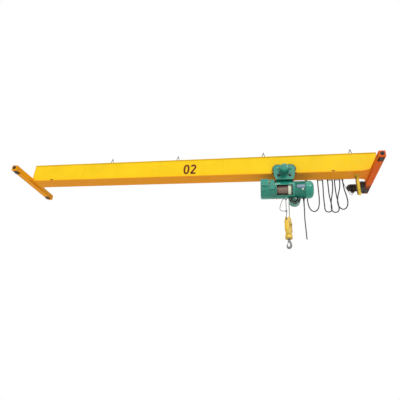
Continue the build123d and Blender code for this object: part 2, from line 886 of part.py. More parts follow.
block_plane = Plane(
    origin=(hook_x, 0, sheave_z),
    x_dir=fall_direction,
    z_dir=axle_direction,
)
sheave_outer = sheave_pitch_radius + sheave_lip
shell_top = block_top - sheave_z
shell_bottom = block_bottom - sheave_z
with BuildPart() as block_shell:
    with BuildSketch(block_plane):
        with BuildLine():
            Polyline(
                (-block_top_half, shell_top),
                (block_top_half, shell_top),
                (block_half_width, shell_top - block_shoulder),
                (block_half_width, shell_bottom + block_neck_height),
                (block_neck_half, shell_bottom),
                (-block_neck_half, shell_bottom),
                (-block_half_width, shell_bottom + block_neck_height),
                (-block_half_width, shell_top - block_shoulder),
                close=True,
            )
        make_face()
    extrude(amount=block_thickness / 2, both=True)
    fillet(block_shell.edges().filter_by(Axis(block_plane.origin, axle_direction)), block_fillet)
    with BuildSketch(block_plane):
        Circle(sheave_outer + drum_clearance)
        with Locations((0, shell_top / 2)):
            Rectangle(2 * (sheave_pitch_radius + rope_radius + 5), shell_top)
    extrude(amount=block_cavity / 2, both=True, mode=Mode.SUBTRACT)
    with BuildSketch(block_plane):
        Circle(sheave_axle_radius + bearing_gap)
        for end in (-1, 1):
            with Locations((end * 70, -20)):
                SlotOverall(110, 22, rotation=90)
    extrude(amount=block_thickness, both=True, mode=Mode.SUBTRACT)
    with BuildSketch(Plane.XY.offset(block_bottom)):
        with Locations((hook_x, 0)):
            Circle(shank_radius + bearing_gap)
    extrude(amount=nut_rise, mode=Mode.SUBTRACT)
    with BuildSketch(Plane.XY.offset(block_bottom + nut_rise)):
        with Locations((hook_x, 0)):
            Circle(nut_radius + nut_clearance)
    extrude(amount=nut_height + nut_clearance, mode=Mode.SUBTRACT)
block_shell.part.label = "block_shell"
export_step(block_shell.part, "parts/block_shell.step")

with BuildPart() as block_collar:
    with BuildSketch(Plane.XY.offset(collar_bottom)):
        with Locations((hook_x, 0)):
            Circle(collar_radius)
            Circle(shank_radius + bearing_gap, mode=Mode.SUBTRACT)
    extrude(amount=collar_height)
block_collar.part.label = "block_collar"
export_step(block_collar.part, "parts/block_collar.step")

sheave_profile_plane = Plane(
    origin=(hook_x, 0, sheave_z),
    x_dir=axle_direction,
    z_dir=fall_direction * -1,
)
groove_bottom = sheave_pitch_radius - rope_radius - seat_gap
with BuildPart() as sheave:
    with BuildSketch(sheave_profile_plane):
        with BuildLine():
            Polyline(
                (-block_thickness / 2 + 1, 0),
                (-block_thickness / 2 + 1, sheave_axle_radius),
                (-sheave_width / 2, sheave_axle_radius),
                (-sheave_width / 2, sheave_outer),
                (-sheave_width / 2 + 4, sheave_outer),
                (-rope_radius * 0.75, groove_bottom),
                (rope_radius * 0.75, groove_bottom),
                (sheave_width / 2 - 4, sheave_outer),
                (sheave_width / 2, sheave_outer),
                (sheave_width / 2, sheave_axle_radius),
                (block_thickness / 2 - 1, sheave_axle_radius),
                (block_thickness / 2 - 1, 0),
                close=True,
            )
        make_face()
    revolve(axis=Axis(block_plane.origin, axle_direction))
sheave.part.label = "sheave"
export_step(sheave.part, "parts/sheave.step")

# Rope round the lower half of the sheave, between the two falls
with BuildPart() as sheave_rope:
    with BuildLine(block_plane) as bight_line:
        ThreePointArc((sheave_pitch_radius, 0), (0, -sheave_pitch_radius), (-sheave_pitch_radius, 0))
    with BuildSketch(Plane(origin=bight_line.line @ 0, z_dir=bight_line.line % 0)):
        RegularPolygon(rope_radius, bar_sides)
    sweep(path=bight_line.line)
sheave_rope.part.label = "sheave_rope"
export_step(sheave_rope.part, "parts/sheave_rope.step")

# Hook: shank, swan neck and bowl

hook_direction = Vector(math.cos(math.radians(hook_turn)), math.sin(math.radians(hook_turn)), 0)
hook_normal = Vector(hook_direction.Y, -hook_direction.X, 0)
hook_plane = Plane(origin=(hook_x, 0, 0), x_dir=hook_direction, z_dir=hook_normal)
shank_bottom = collar_bottom - hook_shank_length
bowl_z = shank_bottom - hook_curve_height
back_radius = hook_bowl_radius + hook_section
throat_radius = hook_bowl_radius - hook_section
with BuildPart() as hook:
    with BuildSketch(hook_plane):
        with Locations((0, bowl_z)):
            Circle(back_radius)
        with BuildLine():
            Polyline(
                (-hook_section, shank_bottom),
                (hook_section, shank_bottom),
                (back_radius, bowl_z),
                (0, bowl_z),
                close=True,
            )
        make_face()
        with Locations((0, bowl_z)):
            Circle(throat_radius, mode=Mode.SUBTRACT)
        with BuildLine():
            Polyline(
                (0, bowl_z),
                (-2 * back_radius, bowl_z + hook_tip_rise),
                (-2 * back_radius, shank_bottom - hook_section),
                (-hook_section, shank_bottom - hook_section),
                (0, bowl_z + throat_radius),
                close=True,
            )
        make_face(mode=Mode.SUBTRACT)
    extrude(amount=hook_section * 0.85, both=True)
    with BuildSketch(Plane.XY.offset(shank_bottom)):
        with Locations((hook_x, 0)):
            Circle(shank_radius)
    extrude(amount=block_bottom + nut_rise - shank_bottom)
    with BuildSketch(Plane.XY.offset(block_bottom + nut_rise)):
        with Locations((hook_x, 0)):
            Circle(nut_radius)
    extrude(amount=nut_height)
hook.part.label = "hook"
export_step(hook.part, "parts/hook.step")

# Festoon track on the far side, its arms, carriers and clamps

track_bottom = underside + track_rise
track_top = track_bottom + track_size
with BuildPart() as festoon_track:
    with BuildSketch(cross_plane(track_start)):
        with Locations((festoon_y, track_bottom + track_size / 2)):
            Rectangle(track_size, track_size)
            Rectangle(track_size - 2 * track_wall, track_size - 2 * track_wall, mode=Mode.SUBTRACT)
        with Locations((festoon_y, track_bottom + track_wall / 2)):
            Rectangle(track_slot, track_wall, mode=Mode.SUBTRACT)
    extrude(amount=track_end - track_start)
festoon_track.part.label = "festoon_track"
export_step(festoon_track.part, "parts/festoon_track.step")

arm_top = underside + arm_rise
arm_pitch = (track_end - track_start - 2 * arm_inset) / (arm_count - 1)
with BuildPart() as festoon_arms:
    for index in range(arm_count):
        with BuildSketch(cross_plane(track_start + arm_inset + index * arm_pitch)):
            with BuildLine():
                Polyline(
                    (web_outer, arm_top),
                    (web_outer, arm_top + arm_thickness),
                    (festoon_y + arm_thickness / 2, arm_top + arm_thickness),
                    (festoon_y + arm_thickness / 2, track_top),
                    (festoon_y - arm_thickness / 2, track_top),
                    (festoon_y - arm_thickness / 2, arm_top),
                    close=True,
                )
            make_face()
        extrude(amount=arm_width / 2, both=True)
festoon_arms.part.label = "festoon_arms"
export_step(festoon_arms.part, "parts/festoon_arms.step")

clamp_bottom = underside + clamp_rise
clamp_top = clamp_bottom + clamp_height
lip_top = track_bottom + track_wall
roller_z = lip_top + carrier_roller + seat_gap
for number, carrier_x in enumerate(carrier_places, start=1):
    with BuildPart() as festoon_carrier:
        with BuildSketch(Plane.XY.offset(clamp_bottom)):
            with Locations((carrier_x, festoon_y)):
                Rectangle(carrier_length, clamp_width)
        extrude(amount=clamp_height)
        with Locations((carrier_x, festoon_y, (clamp_top + roller_z) / 2)):
            Box(carrier_length / 2, 5, roller_z - clamp_top)
        for end in (-1, 1):
            with Locations((carrier_x + end * (carrier_length / 4 - carrier_roller), festoon_y, roller_z)):
                Cylinder(carrier_roller, 24, rotation=(90, 0, 0))
    festoon_carrier.part.label = f"festoon_carrier_{number}"
    export_step(festoon_carrier.part, f"parts/festoon_carrier_{number}.step")

with BuildPart() as festoon_end_clamp:
    with BuildSketch(Plane.XY.offset(clamp_bottom)):
        with Locations((end_clamp_x, festoon_y)):
            Rectangle(end_clamp_length, clamp_width)
    extrude(amount=track_bottom - clamp_bottom)
festoon_end_clamp.part.label = "festoon_end_clamp"
export_step(festoon_end_clamp.part, "parts/festoon_end_clamp.step")

# Tow arm from the trolley's rear plate to the first loop
with BuildPart() as tow_arm:
    with BuildSketch(Plane.XY.offset(clamp_bottom)):
        with BuildLine():
            Polyline(
                (trolley_x + 60, plate_outer),
                (tow_x - 60, plate_outer),
                (tow_x - 24, festoon_y - clamp_width / 2),
                (tow_x + 24, festoon_y - clamp_width / 2),
                (tow_x + 24, festoon_y + clamp_width / 2),
                (tow_x - 24, festoon_y + clamp_width / 2),
                (tow_x - 60, plate_outer + 14),
                (trolley_x + 60, plate_outer + 14),
                close=True,
            )
        make_face()
    extrude(amount=clamp_height)
tow_arm.part.label = "tow_arm"
export_step(tow_arm.part, "parts/tow_arm.step")

# Pendant gland under the hoist motor
gland_x = motor_body_end - gland_inset
gland_bottom = hoist_z - hoist_radius - gland_length
with BuildPart() as pendant_gland:
    with BuildSketch(Plane.XY.offset(gland_bottom)):
        with Locations((gland_x, drum_y)):
            Circle(gland_radius)
    extrude(amount=gland_length + 40)
    with BuildSketch(Plane.XY.offset(gland_bottom)):
        with Locations((gland_x, drum_y)):
            Circle(sleeve_radius)
    extrude(amount=-(sleeve_length - gland_length))
    with Locations((gland_x, drum_y, hoist_z)):
        Cylinder(
            hoist_radius + seat_gap,
            200,
            rotation=(0, 90, 0),
            mode=Mode.SUBTRACT,
        )
pendant_gland.part.label = "pendant_gland"
export_step(pendant_gland.part, "parts/pendant_gland.step")

# Cable routes, as points along each cable
near_y = festoon_y - 18
far_y = festoon_y + 18
strand_x = [(x - strand_half, x + strand_half) for x in carrier_places]
loop_1_end = strand_x[0][0]
loop_1 = [
    (tow_x, festoon_y, clamp_bottom),
    (tow_x, festoon_y, -95),
    (tow_x - 5, festoon_y, -330),
    (tow_x + 3, festoon_y, -540),
    (tow_x + 47, festoon_y, -690),
    (tow_x + 139, festoon_y, -755),
    (loop_1_end - 42, festoon_y, -690),
    (loop_1_end - 5, festoon_y, -560),
    (loop_1_end + 7, festoon_y, -350),
    (loop_1_end, festoon_y, -110),
    (loop_1_end, festoon_y, clamp_bottom),
]
loop_2_start = strand_x[0][1]
loop_2_end = strand_x[1][0]
loop_2 = [
    (loop_2_start, near_y, clamp_bottom),
    (loop_2_start, near_y, -80),
    (loop_2_start - 9, near_y, -290),
    (loop_2_start - 8, near_y, -460),
    (loop_2_start - 4, near_y, -600),
    (loop_2_start - 3, near_y, -717),
    (loop_2_start + 45, near_y, -765),
    (loop_2_end - 10, near_y, -765),
    (loop_2_end + 37, near_y, -717),
    (loop_2_end + 38, near_y, -600),
    (loop_2_end + 22, near_y, -460),
    (loop_2_end + 2, near_y, -290),
    (loop_2_end, near_y, -80),
    (loop_2_end, near_y, clamp_bottom),
]
loop_3_start = strand_x[1][1]
loop_3_end = strand_x[2][0]
loop_3 = [
    (loop_3_start, far_y, clamp_bottom),
    (loop_3_start, far_y, -80),
    (loop_3_start - 36, far_y, -280),
    (loop_3_start - 74, far_y, -450),
    (loop_3_start - 85, far_y, -590),
    (loop_3_start - 83, far_y, -707),
    (loop_3_start - 32, far_y, -758),
    (loop_3_end - 12, far_y, -758),
    (loop_3_end + 39, far_y, -707),
    (loop_3_end + 40, far_y, -590),
    (loop_3_end + 26, far_y, -450),
    (loop_3_end + 6, far_y, -280),
    (loop_3_end, far_y, -80),
    (loop_3_end, far_y, clamp_bottom),
]
loop_4_start = strand_x[2][1]
loop_4 = [
    (loop_4_start, near_y, clamp_bottom),
    (loop_4_start, near_y, -40),
    (loop_4_start - 47, near_y, -230),
    (loop_4_start - 93, near_y, -390),
    (loop_4_start - 107, near_y, -530),
    (loop_4_start - 74, near_y, -650),
    (loop_4_start + 9, near_y, -712),
    (end_clamp_x + 28, near_y, -655),
    (end_clamp_x + 68, near_y, -520),
    (end_clamp_x + 48, near_y, -330),
    (end_clamp_x, near_y, -100),
    (end_clamp_x, near_y, clamp_bottom),
]
motor_lead = [
    (lead_box_x, drive_y, lead_box_bottom),
    (lead_box_x, drive_y, lead_box_bottom - 60),
    (lead_box_x - 60, drive_y - 80, lead_box_bottom - 120),
    (lead_box_x - 120, drive_y - 180, lead_box_bottom - 110),
    (end_clamp_x + 90, festoon_y + 100, lead_box_bottom - 30),
    (end_clamp_x + 10, far_y, clamp_bottom - 70),
    (end_clamp_x + 10, far_y, clamp_bottom),
]
sleeve_bottom = gland_bottom - (sleeve_length - gland_length)
pendant_cable = [
    (gland_x, drum_y, sleeve_bottom),
    (gland_x, drum_y, sleeve_bottom - 154),
    (gland_x - 6, drum_y, sleeve_bottom - 314),
    (gland_x + 2, drum_y, sleeve_bottom - 484),
    (gland_x + 8, drum_y, sleeve_bottom - 664),
    (gland_x + 14, drum_y, sleeve_bottom - 826),
]
tail_rope = [
    (anchor_x - anchor_size / 2, -fall_y, anchor_bottom + 24),
    (anchor_x - 66, -fall_y, anchor_bottom + 24),
    (anchor_x - 100, -fall_y, anchor_bottom - 52),
    (anchor_x - 136, -fall_y, anchor_bottom - 162),
    (anchor_x - 150, -fall_y, clip_z + 58),
    (anchor_x - 126, -fall_y, clip_z + 7),
    (anchor_x - 66, -fall_y, clip_z),
    (anchor_x - clip_width / 2, -fall_y, clip_z),
]

for name, route, diameter in (
    ("festoon_loop_1", loop_1, festoon_diameter),
    ("festoon_loop_2", loop_2, festoon_diameter),
    ("festoon_loop_3", loop_3, festoon_diameter),
    ("festoon_loop_4", loop_4, festoon_diameter),
    ("motor_lead", motor_lead, lead_diameter),
    ("pendant_cable", pendant_cable, pendant_diameter),
    ("tail_rope", tail_rope, tail_diameter),
):
    radii = cord_radii(route)
    with BuildPart() as cable:
        with BuildLine() as route_line:
            FilletPolyline(*route, radius=radii)
        with BuildSketch(Plane(origin=route_line.line @ 0, z_dir=route_line.line % 0)):
            RegularPolygon(diameter / 2, bar_sides)
        sweep(path=route_line.line)
    cable.part.label = name
    export_step(cable.part, f"parts/{name}.step")
    section = bar_sides / 8 * diameter**2 * math.sin(2 * math.pi / bar_sides)
    expected = cord_lengths(route, radii) * section
    smallest = round(min(radii))
    print(name, "radii from", smallest, "volume ratio", round(cable.part.volume / expected, 4))
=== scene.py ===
import json
import random
from math import copysign, cos, pi, radians, sin, sqrt

import bmesh
import bpy
from mathutils import Matrix, Vector


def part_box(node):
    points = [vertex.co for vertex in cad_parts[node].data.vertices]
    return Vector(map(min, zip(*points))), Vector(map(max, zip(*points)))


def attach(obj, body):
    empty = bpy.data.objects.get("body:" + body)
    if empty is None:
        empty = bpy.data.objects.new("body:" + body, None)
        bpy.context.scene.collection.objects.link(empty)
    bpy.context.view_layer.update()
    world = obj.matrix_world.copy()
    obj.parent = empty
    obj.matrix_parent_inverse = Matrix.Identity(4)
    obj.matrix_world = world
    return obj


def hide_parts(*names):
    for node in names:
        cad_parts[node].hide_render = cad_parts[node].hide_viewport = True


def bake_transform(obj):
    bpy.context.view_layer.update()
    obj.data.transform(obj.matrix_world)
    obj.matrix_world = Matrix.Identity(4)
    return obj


# The looks of an overhead bridge crane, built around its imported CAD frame.
# X runs along the girder, Y from the viewed side to the far side, Z up. Places, weld beads and
# cables are in metres. Profiles, sections, outlines, offsets, bolt heads and chamfers of the details
# are in millimetres.

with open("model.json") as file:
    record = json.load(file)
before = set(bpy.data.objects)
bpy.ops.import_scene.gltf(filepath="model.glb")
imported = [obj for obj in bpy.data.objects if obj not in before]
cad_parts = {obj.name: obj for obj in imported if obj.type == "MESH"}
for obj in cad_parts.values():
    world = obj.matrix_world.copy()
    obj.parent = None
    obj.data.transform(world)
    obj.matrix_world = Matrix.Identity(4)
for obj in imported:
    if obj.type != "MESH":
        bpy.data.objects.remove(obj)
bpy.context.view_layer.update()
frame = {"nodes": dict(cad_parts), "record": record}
scene = bpy.context.scene

MM = 0.001
X = Vector((1, 0, 0))
Y = Vector((0, 1, 0))
Z = Vector((0, 0, 1))
SIGNS = (-1, 1)  # both sides of a middle
CORNERS = ((-1, -1), (-1, 1), (1, -1), (1, 1))

# Camera, as fitted to the photograph
CAMERA_PLACE = (2.075, -8.041, -4.544)
CAMERA_YAW = radians(-12.057)
CAMERA_PITCH = radians(26.074)
CAMERA_ROLL = radians(4.311)
CAMERA_LENS = 32.66

# Main places, read from the frame's boxes
girder_low, girder_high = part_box("girder_webs")
flange_low, flange_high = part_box("girder_bottom_flange")
top_low, top_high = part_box("girder_top_flange")
underside = flange_low.z
web_front = girder_low.y
web_rear = girder_high.y


def link(obj):
    """Puts an object in the scene."""
    scene.collection.objects.link(obj)
    return obj


def mesh_piece(name, verts, faces, material, smooth=False):
    """A mesh object from points and faces."""
    data = bpy.data.meshes.new(name)
    data.from_pydata([tuple(v) for v in verts], [], faces)
    data.validate()
    data.materials.append(material)
    if smooth:
        data.shade_smooth()
    return link(bpy.data.objects.new(name, data))


# Materials: each is a short function that builds its own nodes


class Nodes:
    """A node tree with short calls: a node's inputs are numbers, colours or outputs to link."""

    def __init__(self, tree):
        self.tree = tree

    def fill(self, node, inputs):
        for name, value in inputs.items():
            socket = node.inputs[name.replace("_", " ") if isinstance(name, str) else name]
            if isinstance(value, bpy.types.NodeSocket):
                self.tree.links.new(value, socket)
            else:
                socket.default_value = (*value, 1) if socket.type == "RGBA" else value
        return node

    def add(self, kind, **inputs):
        return self.fill(self.tree.nodes.new("ShaderNode" + kind), inputs)

    def math(self, operation, first, second):
        node = self.add("Math")
        node.operation = operation
        node.use_clamp = True
        return self.fill(node, {0: first, 1: second}).outputs["Value"]

    def times(self, first, second):
        return self.math("MULTIPLY", first, second)


class Shader(Nodes):
    """A material with short calls for the masks and mixtures that the finishes share."""

    def __init__(self, name):
        self.material = bpy.data.materials.new(name)
        self.material.use_nodes = True
        super().__init__(self.material.node_tree)
        self.surface = self.tree.nodes["Principled BSDF"]
        self.place = self.add("TexCoord").outputs["Object"]

    def set(self, **inputs):
        self.fill(self.surface, inputs)

    def noise(self, scale, detail=4, roughness=0.55, stretch=None):
        place = self.place
        if stretch:
            place = self.add("Mapping", Vector=place, Scale=stretch).outputs["Vector"]
        node = self.add("TexNoise", Scale=scale, Detail=detail, Roughness=roughness, Vector=place)
        return node.outputs["Fac"]

    def ramp(self, value, stops):
        node = self.add("ValToRGB", Fac=value)
        elements = node.color_ramp.elements
        while len(elements) < len(stops):
            elements.new(0.5)
        for element, (position, colour) in zip(elements, stops):
            element.position = position
            element.color = (*colour, 1)
        return node.outputs["Color"]

    def spread(self, value, low, high, to_low=0.0, to_high=1.0):
        limits = {"From Min": low, "From Max": high, "To Min": to_low, "To Max": to_high}
        return self.fill(self.add("MapRange", Value=value), limits).outputs["Result"]

    def mix(self, factor, first, second):
        node = self.add("Mix")
        node.data_type = "RGBA"
        return self.fill(node, {0: factor, 6: first, 7: second}).outputs[2]

    def edges(self):
        """A mask that is 1 on edges and corners, however the mesh is cut into faces."""
        soft = self.add("Bevel", Radius=0.004)
        soft.samples = 4
        alike = self.add("VectorMath")
        alike.operation = "DOT_PRODUCT"
        self.fill(alike, {0: soft.outputs["Normal"], 1: self.add("NewGeometry").outputs["Normal"]})
        return self.spread(alike.outputs["Value"], 0.995, 0.88)

    def creases(self):
        """A mask that is 1 deep in corners and joints, where dirt and shade collect."""
        shadow = self.add("AmbientOcclusion", Distance=0.045)
        shadow.samples = 6
        return self.spread(shadow.outputs["AO"], 0.25, 0.9, 1.0, 0.0)

    def along(self, axis):
        """The place along X, Y or Z."""
        return self.add("SeparateXYZ", Vector=self.place).outputs[axis]

    def downward(self):
        """A mask that is 1 on faces that look down."""
        normal = self.add("NewGeometry").outputs["Normal"]
        return self.spread(self.add("SeparateXYZ", Vector=normal).outputs["Z"], -0.35, -0.9)

    def bump(self, height, strength, distance):
        node = self.add("Bump", Strength=strength, Distance=distance, Height=height)
        self.set(Normal=node.outputs["Normal"])


def shade(colour, factor):
    """A colour made darker or lighter by a factor."""
    return tuple(min(1.0, channel * factor) for channel in colour)


def paint(name, colour, grime=(0.12, 0.09, 0.05), dirt=0.35, rough=0.42, gloss=0.3, coat=0.0, grain=140,
          edge_wear_and_highlight=(0.22, 0.1, 0.05), worn=0.45, shade_in_joints=0.5, bands=None, downward_light_and_shade=None, greased=None):
    """Sprayed enamel: cloudy colour, dust in streaks, worn edges, joints darkened with painted shade and
    dirt, and an orange-peel skin. On the hoist green, the pale edge colour paints highlights as well as worn
    paint.

    bands holds (x, colour) pairs where the colour changes along the girder, and on the carriages and the hook
    block they paint light and shade. The downward colour is half mixed onto faces that look down, as painted
    light and shade, and greased holds the x and y beyond which grease has darkened the paint.
    """
    s = Shader(name)
    if bands:
        low = bands[0][0]
        high = bands[-1][0]
        stops = [((x - low) / (high - low), tone) for x, tone in bands]
        base = s.ramp(s.spread(s.along("X"), low, high), stops)
    else:
        stops = [(0.3, shade(colour, 0.93)), (0.55, colour), (0.78, shade(colour, 1.05))]
        base = s.ramp(s.noise(1.7, detail=5), stops)
    # Faces that look down get their own colour, half mixed in: painted light and shade on the undersides.
    if downward_light_and_shade:
        base = s.mix(s.times(s.downward(), 0.5), base, downward_light_and_shade)
    streaks = s.noise(3.2, detail=7, roughness=0.65, stretch=(1.0, 1.0, 0.16))
    dusty = s.mix(s.spread(streaks, 0.58, 0.84, 0.0, dirt), base, grime)
    if greased:
        x, y = greased
        beyond = s.times(s.spread(s.along("X"), x, x + 0.08), s.spread(s.along("Y"), y, y + 0.16))
        patches = s.spread(s.noise(9, detail=5, roughness=0.65), 0.36, 0.58, 0.45, 0.97)
        dusty = s.mix(s.times(beyond, patches), dusty, (0.045, 0.022, 0.014))
    # Edge colour: dark chips of worn paint, and on the hoist green a pale colour that paints highlights along
    # the edges.
    chips = s.times(s.edges(), s.spread(s.noise(38, detail=5), 0.4, 0.56))
    chipped = s.mix(s.times(chips, worn), dusty, edge_wear_and_highlight)
    # Corners and joints are darkened from ambient occlusion: painted shade, with dirt.
    joints = s.times(s.creases(), shade_in_joints)
    skin = s.math("ADD", s.noise(grain, detail=2), s.times(s.noise(9, detail=3), 0.6))
    s.bump(skin, 0.1, 0.001)
    s.set(
        Base_Color=s.mix(joints, chipped, shade(grime, 0.3)),
        Roughness=s.spread(s.noise(6, detail=6), 0.3, 0.75, rough, rough + 0.2),
        Specular_IOR_Level=gloss,
        Coat_Weight=coat,
        Coat_Roughness=0.1,
    )
    return s.material


def bare_metal(name, colour, rough=0.36, amount=0.25):
    """Machined or forged steel: fine tool lines, dark oil and a little rust."""
    s = Shader(name)
    stops = [(0.3, shade(colour, 0.7)), (0.55, colour), (0.8, shade(colour, 1.25))]
    stain = s.spread(s.noise(11, detail=6, roughness=0.65), 0.52, 0.72, 0.0, amount)
    s.bump(s.noise(120), 0.18, 0.001)
    s.set(
        Base_Color=s.mix(stain, s.ramp(s.noise(26, detail=6), stops), (0.2, 0.1, 0.05)),
        Roughness=s.spread(s.noise(30, detail=5), 0.3, 0.7, rough - 0.08, rough + 0.2),
        Metallic=0.85,
    )
    return s.material


def rubber(name, rough=0.55):
    """Black rubber or cable sheath with dust in its grain."""
    s = Shader(name)
    dust = s.spread(s.noise(14, detail=6, roughness=0.7), 0.5, 0.78, 0.0, 0.25)
    s.bump(s.noise(260, detail=3), 0.2, 0.0008)
    s.set(
        Base_Color=s.mix(dust, (0.022, 0.022, 0.025), (0.11, 0.1, 0.09)),
        Roughness=s.spread(s.noise(40), 0.3, 0.7, rough, rough + 0.2),
    )
    return s.material


def wire_rope(name, colour):
    """Greased steel wire rope: brown grease in the grooves and worn bright crowns."""
    s = Shader(name)
    worn = s.spread(s.noise(90), 0.42, 0.68)
    base = s.mix(worn, shade(colour, 0.45), shade(colour, 1.5))
    patches = s.spread(s.noise(7), 0.4, 0.7, 0.0, 0.55)
    s.bump(s.noise(420, detail=2), 0.35, 0.001)
    s.set(
        Base_Color=s.mix(patches, base, (0.36, 0.25, 0.2)),
        Roughness=s.spread(worn, 0.0, 1.0, 0.62, 0.36),
        Metallic=0.55,
    )
    return s.material


def zinc(name):
    """Galvanised strip with its spangle."""
    s = Shader(name)
    spangle = s.add("TexVoronoi", Scale=70, Vector=s.place).outputs["Color"]
    grey = s.add("RGBToBW", Color=spangle).outputs["Val"]
    tone = s.ramp(grey, [(0.2, (0.36, 0.37, 0.38)), (0.8, (0.52, 0.53, 0.55))])
    dust = s.spread(s.noise(5, detail=6), 0.5, 0.8, 0.0, 0.45)
    s.bump(s.noise(160, detail=3), 0.08, 0.001)
    s.set(
        Base_Color=s.mix(dust, tone, (0.2, 0.18, 0.15)),
        Roughness=s.spread(grey, 0.1, 0.9, 0.34, 0.52),
        Metallic=0.7,
    )
    return s.material


YELLOW = (0.95, 0.63, 0.01)
# The golden tone paints light on the lit inner face of the left carriage, and the vermilion tone paints shade
# on the shaded inner face of the right one.
LIT_SIDE_GOLD = (0.9, 0.37, 0.008)
ORANGE = (0.85, 0.32, 0.007)
SHADED_SIDE_VERMILION = (0.8, 0.12, 0.01)
GREEN = (0.008, 0.262, 0.186)
# A pale green for the hoist's edges: painted highlights, with worn paint.
PALE_WEAR_AND_HIGHLIGHT_GREEN = (0.3, 0.62, 0.48)
SHADED_YELLOW = (0.32, 0.21, 0.03)
HOOK_X = 2.501

girder_yellow = paint("girder_yellow_enamel", YELLOW, dirt=0.1, gloss=0.1, grain=60, shade_in_joints=0.35)
carriage_look = dict(dirt=0.2, gloss=0.1, grain=60, shade_in_joints=0.2, greased=(4.3, 0.4))
# The carriage paint's bands along X paint light and shade: golden on the left carriage's lit side, vermilion
# on the right carriage's shaded side.
carriage_lit_and_shaded_orange = paint(
    "carriage_orange_painted_light_and_shade_enamel",
    ORANGE,
    bands=[
        (-4.6, LIT_SIDE_GOLD), (-4.36, LIT_SIDE_GOLD), (-4.1, ORANGE),
        (3.95, ORANGE), (4.42, SHADED_SIDE_VERMILION), (4.6, SHADED_SIDE_VERMILION),
    ],
    # A lighter orange on faces that look down: painted light and shade.
    downward_light_and_shade=(0.87, 0.33, 0.008),
    **carriage_look,
)
# A red copy of the carriage paint for the right carriage: painted shade on its inner face.
shaded_carriage_red = paint("shaded_right_carriage_red_enamel", (0.78, 0.125, 0.008), **carriage_look)
hammer_look = dict(grime=(0.02, 0.05, 0.04), rough=0.24, coat=0.6, edge_wear_and_highlight=PALE_WEAR_AND_HIGHLIGHT_GREEN)
green_look = dict(hammer_look, dirt=0.3, worn=0.7, shade_in_joints=0.85)
motor_look = dict(hammer_look, dirt=0.25, worn=0.5, shade_in_joints=0.3)
hoist_green = paint("hoist_green_hammer_enamel", GREEN, **green_look)
# A lighter copy of the hoist green for the motor: painted light.
lit_motor_green = paint("lit_motor_hammer_enamel", shade(GREEN, 1.12), **motor_look)
# A paler green for the window frame lips and the trolley plate rims: painted highlights along those edges,
# with worn paint.
worn_and_highlight_green = paint("worn_and_highlight_pale_green_enamel", (0.11, 0.4, 0.29), **green_look)
# A darkened copy of the hoist green for the limit housing's rims and the pin washers: painted shade.
shaded_green = paint("shaded_hoist_green_enamel", shade(GREEN, 0.3), **green_look)
drive_look = dict(grime=(0.16, 0.11, 0.08), dirt=0.45, edge_wear_and_highlight=(0.2, 0.15, 0.11), rough=0.32)
drive_black = paint("drive_black_enamel", (0.03, 0.02, 0.016), **drive_look)
collector_yellow = paint("collector_yellow_enamel", (0.95, 0.68, 0.06), dirt=0.2, gloss=0.15)
# The hook block's bands along X paint shade on its sides and a highlight in its middle.
block_shade_and_highlight_yellow = paint(
    "block_yellow_painted_shade_and_highlight_enamel",
    YELLOW,
    dirt=0.3,
    rough=0.3,
    shade_in_joints=0.7,
    bands=[
        (HOOK_X - 0.105, SHADED_YELLOW),
        (HOOK_X - 0.07, (0.8, 0.5, 0.03)),
        (HOOK_X - 0.005, (0.95, 0.68, 0.12)),
        (HOOK_X + 0.03, (0.92, 0.62, 0.07)),
        (HOOK_X + 0.07, (0.75, 0.46, 0.03)),
        (HOOK_X + 0.105, SHADED_YELLOW),
    ],
)
clamp_dark = paint("clamp_grey_enamel", (0.035, 0.038, 0.042), grime=(0.14, 0.12, 0.1), dirt=0.4)
hoop_grey = paint("hoop_grey_brown_enamel", (0.085, 0.07, 0.055), grime=(0.16, 0.11, 0.06), dirt=0.4)
stop_brown = paint("end_stop_brown_enamel", (0.25, 0.105, 0.015), dirt=0.3, gloss=0.1)
mark_paint = paint("dark_red_mark_paint", (0.16, 0.035, 0.012), dirt=0.3, rough=0.5, gloss=0.1)
bare_label = paint("bare_label_plate", (0.17, 0.26, 0.36), dirt=0.3, rough=0.22, gloss=0.5)
guide_cast = paint("pale_guide_enamel", (0.78, 0.82, 0.66), grime=(0.16, 0.13, 0.08), dirt=0.4)
pale_ring_paint = paint("pale_ring_enamel", (0.3, 0.4, 0.31), dirt=0.3)
dark_block_yellow = paint("dark_block_yellow_enamel", (0.45, 0.27, 0.015), dirt=0.4)
insulator_brown = paint("insulator_brown_glaze", (0.2, 0.095, 0.02), dirt=0.2, rough=0.25)
# A near-white knob on the motor: painted highlight.
highlight_knob_paint = paint("highlight_white_knob_enamel", (0.8, 0.84, 0.8), dirt=0.2)
turned_steel = bare_metal("turned_steel", (0.3, 0.28, 0.26))
drum_iron = bare_metal("drum_iron", (0.16, 0.14, 0.12), rough=0.5, amount=0.4)
hook_grey = bare_metal("forged_hook_steel", (0.24, 0.245, 0.25), rough=0.38, amount=0.18)
bolt_steel = bare_metal("zinc_plated_bolts", (0.42, 0.41, 0.38), rough=0.34, amount=0.3)
dark_iron = bare_metal("oiled_cast_iron", (0.055, 0.06, 0.05), rough=0.45, amount=0.3)
worn_iron = bare_metal("worn_wheel_iron", (0.105, 0.1, 0.095), rough=0.42, amount=0.35)
brass = bare_metal("brass_plug", (0.55, 0.38, 0.12), rough=0.3, amount=0.1)
rope_brown = wire_rope("greased_wire_rope", (0.27, 0.25, 0.22))
drum_rope = wire_rope("greased_drum_rope", (0.46, 0.34, 0.28))
sheath_black = rubber("cable_sheath_rubber")
buffer_black = rubber("buffer_rubber_black", rough=0.7)
track_zinc = zinc("galvanised_track")

